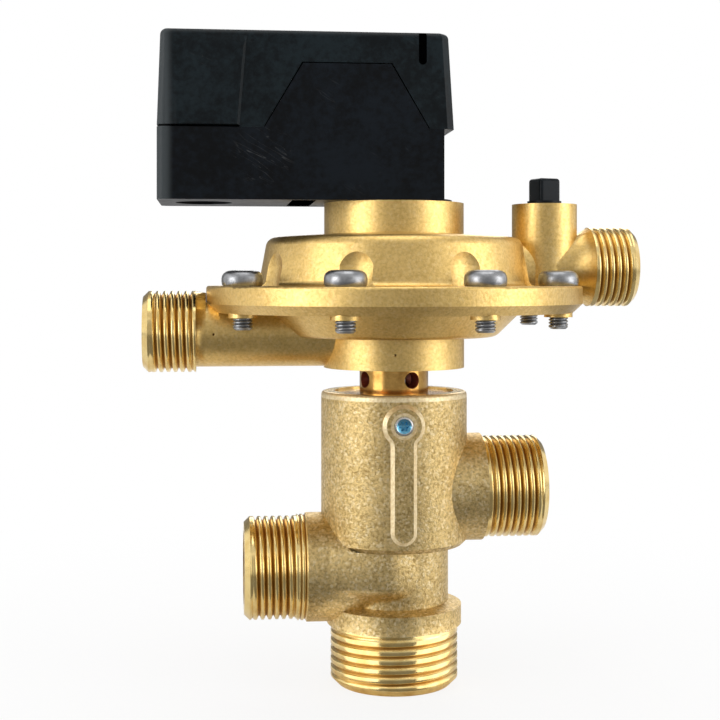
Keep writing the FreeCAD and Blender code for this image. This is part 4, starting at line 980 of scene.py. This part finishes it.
def dressLockScrew():
    look = lockScrew
    low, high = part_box("lock_screw")
    tail = -(high.y - low.y) / millimetre
    radius = look.radius
    socket = look.socket
    mesh = bmesh.new()
    mesh.verts.layers.float.new("groove")
    latheRows(mesh, [
        (0, tail), (radius - look.tip, tail), (radius, tail + look.tip),
        (radius, -look.bevel), (radius - look.edge, -look.edge), (radius - look.bevel, 0),
        (look.rim, -look.dish), (socket + look.lip, -look.lip), (socket, -look.mouth, True),
        (socket, -look.socketDepth, True), (0, -look.socketDepth - look.point),
    ], look.segments, lobeRecess)
    centre = (low + high) / 2
    forward = Matrix.Rotation(math.radians(90), 4, "X")
    seat = Matrix.Translation((centre.x, low.y, centre.z))
    for face in mesh.faces:
        spot = spotOf(face)
        onRim = spot.z > -look.bevel and math.hypot(spot.x, spot.y) > look.rim
        face.material_index = 1 if onRim else 0
    bmesh.ops.transform(mesh, matrix=seat @ forward, verts=mesh.verts)
    data = settle(mesh, "lock_screw_turned", look.sharpAngle)
    return standIn(data, "lock_screw", ["blue_zinc_steel", "stainless_steel"])


for screwNumber in range(1, flangeScrew.count + 1):
    dressFlangeScrew(screwNumber)
dressLockScrew()
print("screws turned")

returnSpring = Look(joint="spindle_slide", slots=["stainless_steel"])


# The spring stands in for its node on a mesh of its own; how much of its length it would keep when the
# spindle lifts its plate is worked out, but the coil is not shortened under the housing's roof
def dressReturnSpring():
    look = returnSpring
    low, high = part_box("return_spring")
    data = settle(weldedCopy("return_spring"), "return_spring_coil")
    piece = standIn(data, "return_spring", look.slots)
    stroke = next(joint["range_m"][1] for joint in frame["joints"] if joint["name"] == look.joint)
    keep = 1 - stroke / (high.z - low.z)
    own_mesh(piece)


dressReturnSpring()
print("spring fitted")

diaphragmForm = Look(bore=3.05, foldInner=25.9, foldOuter=27.2, thickness=1.4, segments=96)


# The diaphragm's clamped rim stays with the housings, its middle lifts with the plate, and the upright fold
# between them turns over
def dressDiaphragm():
    look = diaphragmForm
    low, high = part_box("diaphragm")
    bottom = low.z / millimetre
    top = high.z / millimetre
    rim = high.x / millimetre
    bore = look.bore
    middleTop = bottom + look.thickness
    rimBottom = top - look.thickness
    mesh = bmesh.new()
    latheRows(mesh, [
        (bore, bottom), (look.foldOuter, bottom), (look.foldOuter, rimBottom), (rim, rimBottom),
        (rim, top), (look.foldInner, top), (look.foldInner, middleTop), (bore, middleTop),
    ], look.segments, closed=True)

    def hold(piece):
        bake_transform(piece, "valve", "spindle_set",
                 (0, 0, rimBottom * millimetre), (0, 0, middleTop * millimetre))

    standIn(settle(mesh, "diaphragm_rubber"), "diaphragm", ["black_rubber"], hold)


dressDiaphragm()
print("diaphragm fitted")

boxEdges = Look(flat=0.5, width=0.35, segments=3, angle=32, weight=60)


# The mouldings keep their CAD form, with the sharp edges eased as a mould leaves them
def dressMoulding(nodeName, pieceName, slots, shape):
    mesh = weldedCopy(nodeName)
    bmesh.ops.dissolve_limit(mesh, angle_limit=math.radians(boxEdges.flat), verts=mesh.verts,
                             edges=mesh.edges, delimit={"NORMAL"})
    shape(mesh)
    rough = bpy.data.meshes.new(pieceName + "_plain")
    mesh.loops.layers.float_vector.remove(mesh.loops.layers.float_vector["cadNormal"])
    mesh.to_mesh(rough)
    mesh.free()
    rough.shade_smooth()
    holder = addObject(pieceName + "_plain", rough)
    ease = holder.modifiers.new("ease", "BEVEL")
    ease.width = boxEdges.width * millimetre
    ease.segments = boxEdges.segments
    ease.limit_method = "ANGLE"
    ease.angle_limit = math.radians(boxEdges.angle)
    ease.use_clamp_overlap = True
    flatten = holder.modifiers.new("flatten", "WEIGHTED_NORMAL")
    flatten.weight = boxEdges.weight
    shaped = bpy.data.meshes.new_from_object(holder.evaluated_get(bpy.context.evaluated_depsgraph_get()))
    shaped.name = pieceName
    bpy.data.objects.remove(holder)
    bpy.data.meshes.remove(rough)
    return standIn(shaped, nodeName, slots)


coverForm = Look(front=16.5, lift=0.3, blockTop=164.5, blockLeft=-58.0, topEase=2.2, leftEase=2.4,
                 slant=0.079, slotLeft=4.2, slotRight=6.2, slotBottom=158.9, slotDepth=1.0)


# The raised left end slopes off to the rounded top and corner, and the slot's faces take painted shade
# inside
def shapeCover(mesh):
    look = coverForm
    for vert in mesh.verts:
        spot = vert.co / millimetre
        if abs(spot.y) < look.front + look.lift:
            continue
        if spot.z > look.blockTop:
            spot.z -= look.topEase
            spot.x -= look.topEase * look.slant
        if spot.x < look.blockLeft:
            spot.x += look.leftEase
        vert.co = spot * millimetre
    for face in mesh.faces:
        spot = spotOf(face)
        inSlot = look.slotLeft - touch < spot.x < look.slotRight + touch and spot.z > look.slotBottom
        if inSlot and look.front - look.slotDepth < abs(spot.y) < look.front - touch:
            face.material_index = 1


dressMoulding("switch_box_cover", "switch_box_cover_moulding", ["box_plastic", "recess"], shapeCover)
baseForm = Look(slotLeft=-27.5, slotRight=-21.5, under=125.0, slotDepth=1.7, slotReach=14.5)


# The blind slot under the base takes painted shade inside
def shapeBase(mesh):
    look = baseForm
    for face in mesh.faces:
        spot = spotOf(face)
        inSlot = look.slotLeft - touch < spot.x < look.slotRight + touch
        inSlot = inSlot and abs(spot.y) < look.slotReach + touch
        if inSlot and look.under + touch < spot.z < look.under + look.slotDepth + touch:
            face.material_index = 1


dressMoulding("switch_box_base", "switch_box_base_moulding", ["base", "recess"], shapeBase)
print("mouldings eased")


# Studio: level camera at the height of the flange, white floor and surround, soft boxes
studio = Look(distance=361.0, height=105.0, turn=6.0, sideways=8.9, lens=68.7, sensor=36, shift=-80 / 720,
              clip=10, aim=(0, 0, 80))
white = (1, 1, 1, 1)


def setCamera():
    turn = math.radians(studio.turn)
    forward = Vector((math.sin(turn), math.cos(turn), 0))
    rightward = Vector((math.cos(turn), -math.sin(turn), 0))
    place = -forward * studio.distance - rightward * studio.sideways + Vector((0, 0, studio.height))
    lens = bpy.data.cameras.new("camera")
    lens.lens = studio.lens
    lens.sensor_width = studio.sensor
    lens.shift_y = studio.shift
    lens.clip_start = studio.clip * millimetre
    camera = addObject("camera", lens)
    camera.location = place * millimetre
    camera.rotation_euler = (math.pi / 2, 0, -turn)
    scene.camera = camera


softBoxes = [
    {"name": "box_left", "place": (-760, -400, 160), "size": 520, "power": 2.4},
    {"name": "box_right", "place": (740, -340, 160), "size": 520, "power": 1.9},
    {"name": "box_top", "place": (0, -60, 800), "size": 600, "power": 1.4},
    {"name": "box_back", "place": (150, 640, 420), "size": 420, "power": 1.4},
]


def setLights():
    for box in softBoxes:
        lamp = bpy.data.lights.new(box["name"], "AREA")
        lamp.shape = "SQUARE"
        lamp.size = box["size"] * millimetre
        lamp.energy = box["power"]
        holder = addObject(box["name"], lamp)
        holder.location = Vector(box["place"]) * millimetre
        aim = (Vector(studio.aim) - Vector(box["place"])).normalized()
        holder.rotation_euler = aim.to_track_quat("-Z", "Y").to_euler()


# Flags and cards that only the brass sees: dim flags in front, behind, below and overhead break the white
# surround, and two bright cards stand low beside the bottom thread
flags = [
    {"name": "flag_behind_camera", "glow": 0.5, "throwsShadow": True,
     "corners": [(-760, -1100, -100), (520, -1210, -100), (520, -1210, 900), (-760, -1100, 900)]},
    {"name": "flag_low_front", "glow": 0.22,
     "corners": [(-12, -18, 0.4), (-90, -48, 0.4), (-640, -800, 0.4), (580, -800, 0.4), (90, -48, 0.4),
                 (12, -18, 0.4)]},
    {"name": "card_low_left", "glow": 1.8, "oneSided": True,
     "corners": [(-11, -23, 0.4), (-26, -6, 0.4), (-26, -6, 15), (-11, -23, 15)]},
    {"name": "card_low_right", "glow": 1.9, "oneSided": True,
     "corners": [(26, -6, 0.4), (9, -24, 0.4), (9, -24, 15), (26, -6, 15)]},
    {"name": "flag_under_outlet", "glow": 0.35,
     "corners": [(48, -35, 82), (75, -35, 82), (75, 35, 82), (48, 35, 82)]},
    {"name": "flag_behind_part", "glow": 0.25,
     "corners": [(-1000, 900, 5), (1000, 900, 5), (1000, 900, 1250), (-1000, 900, 1250)]},
    {"name": "flag_overhead", "glow": 0.7,
     "corners": [(-1300, -1300, 1300), (1300, -1300, 1300), (1300, 1300, 1300), (-1300, 1300, 1300)]},
]


def addPlate(name, corners, material):
    data = bpy.data.meshes.new(name)
    data.from_pydata([Vector(corner) * millimetre for corner in corners], [], [range(len(corners))])
    data.materials.append(material)
    plate = addObject(name, data)
    return plate


def setFlags():
    for flag in flags:
        finish = Finish(flag["name"])
        dim = finish.out("ShaderNodeEmission", 0, None, {"Color": white, "Strength": flag["glow"]})
        if flag.get("oneSided"):
            behind = finish.out("ShaderNodeNewGeometry", "Backfacing")
            clear = finish.out("ShaderNodeBsdfTransparent", 0)
            dim = finish.out("ShaderNodeMixShader", 0, None, {0: behind, 1: dim, 2: clear})
        addNode(finish.tree, "ShaderNodeOutputMaterial", None, {"Surface": dim})
        card = addPlate(flag["name"], flag["corners"], finish.material)
        card.visible_camera = False
        card.visible_diffuse = flag.get("throwsShadow", False)
        card.visible_shadow = flag.get("throwsShadow", False)
        card.visible_transmission = False


surround = Look(fill=0.55, floorWhite=0.93, floorGlow=0.85, floorSize=6000, whiteFrom=40, whiteTo=260)


# Camera, mirror and glass rays see the white surround; the rest get a softer fill
def seen(tree):
    path = addNode(tree, "ShaderNodeLightPath")
    straight = Val(tree, path.outputs["Is Camera Ray"])
    mirrored = Val(tree, path.outputs["Is Glossy Ray"])
    through = Val(tree, path.outputs["Is Transmission Ray"])
    return straight.sum("MAXIMUM", straight.sum("MAXIMUM", straight, mirrored), through)


def setWorld():
    world = bpy.data.worlds.new("surround")
    scene.world = world
    world.use_nodes = True
    tree = world.node_tree
    tree.nodes.clear()
    strength = seen(tree) * (1 - surround.fill) + surround.fill
    light = addNode(tree, "ShaderNodeBackground", None, {"Color": white, "Strength": strength})
    addNode(tree, "ShaderNodeOutputWorld", None, {"Surface": Val(tree, light.outputs[0])})


def setFloor():
    finish = Finish("studio_floor")
    tree = finish.tree
    pale = (*[surround.floorWhite] * 3, 1.0)
    matt = finish.out("ShaderNodeBsdfDiffuse", 0, None, {"Color": pale})
    glow = finish.out("ShaderNodeEmission", 0, None, {"Color": white, "Strength": 1.0})
    # The floor turns into the white surround away from the part, where no shadow falls
    length = finish.out("ShaderNodeVectorMath", "Value", {"operation": "LENGTH"}, {0: finish.place})
    far = finish.ramp(length, surround.whiteFrom * millimetre, surround.whiteTo * millimetre)
    straight = Val(tree, addNode(tree, "ShaderNodeLightPath").outputs["Is Camera Ray"])
    share = straight * (surround.floorGlow + far * (1 - surround.floorGlow))
    both = finish.out("ShaderNodeMixShader", 0, None, {0: share, 1: matt, 2: glow})
    addNode(tree, "ShaderNodeOutputMaterial", None, {"Surface": both})
    half = surround.floorSize / 2
    corners = [(-half, -half, 0), (half, -half, 0), (half, half, 0), (-half, half, 0)]
    addPlate("studio_floor", corners, finish.material)


setCamera()
setLights()
setWorld()
setFloor()
setFlags()
scene.view_settings.view_transform = "Standard"
print("studio set")
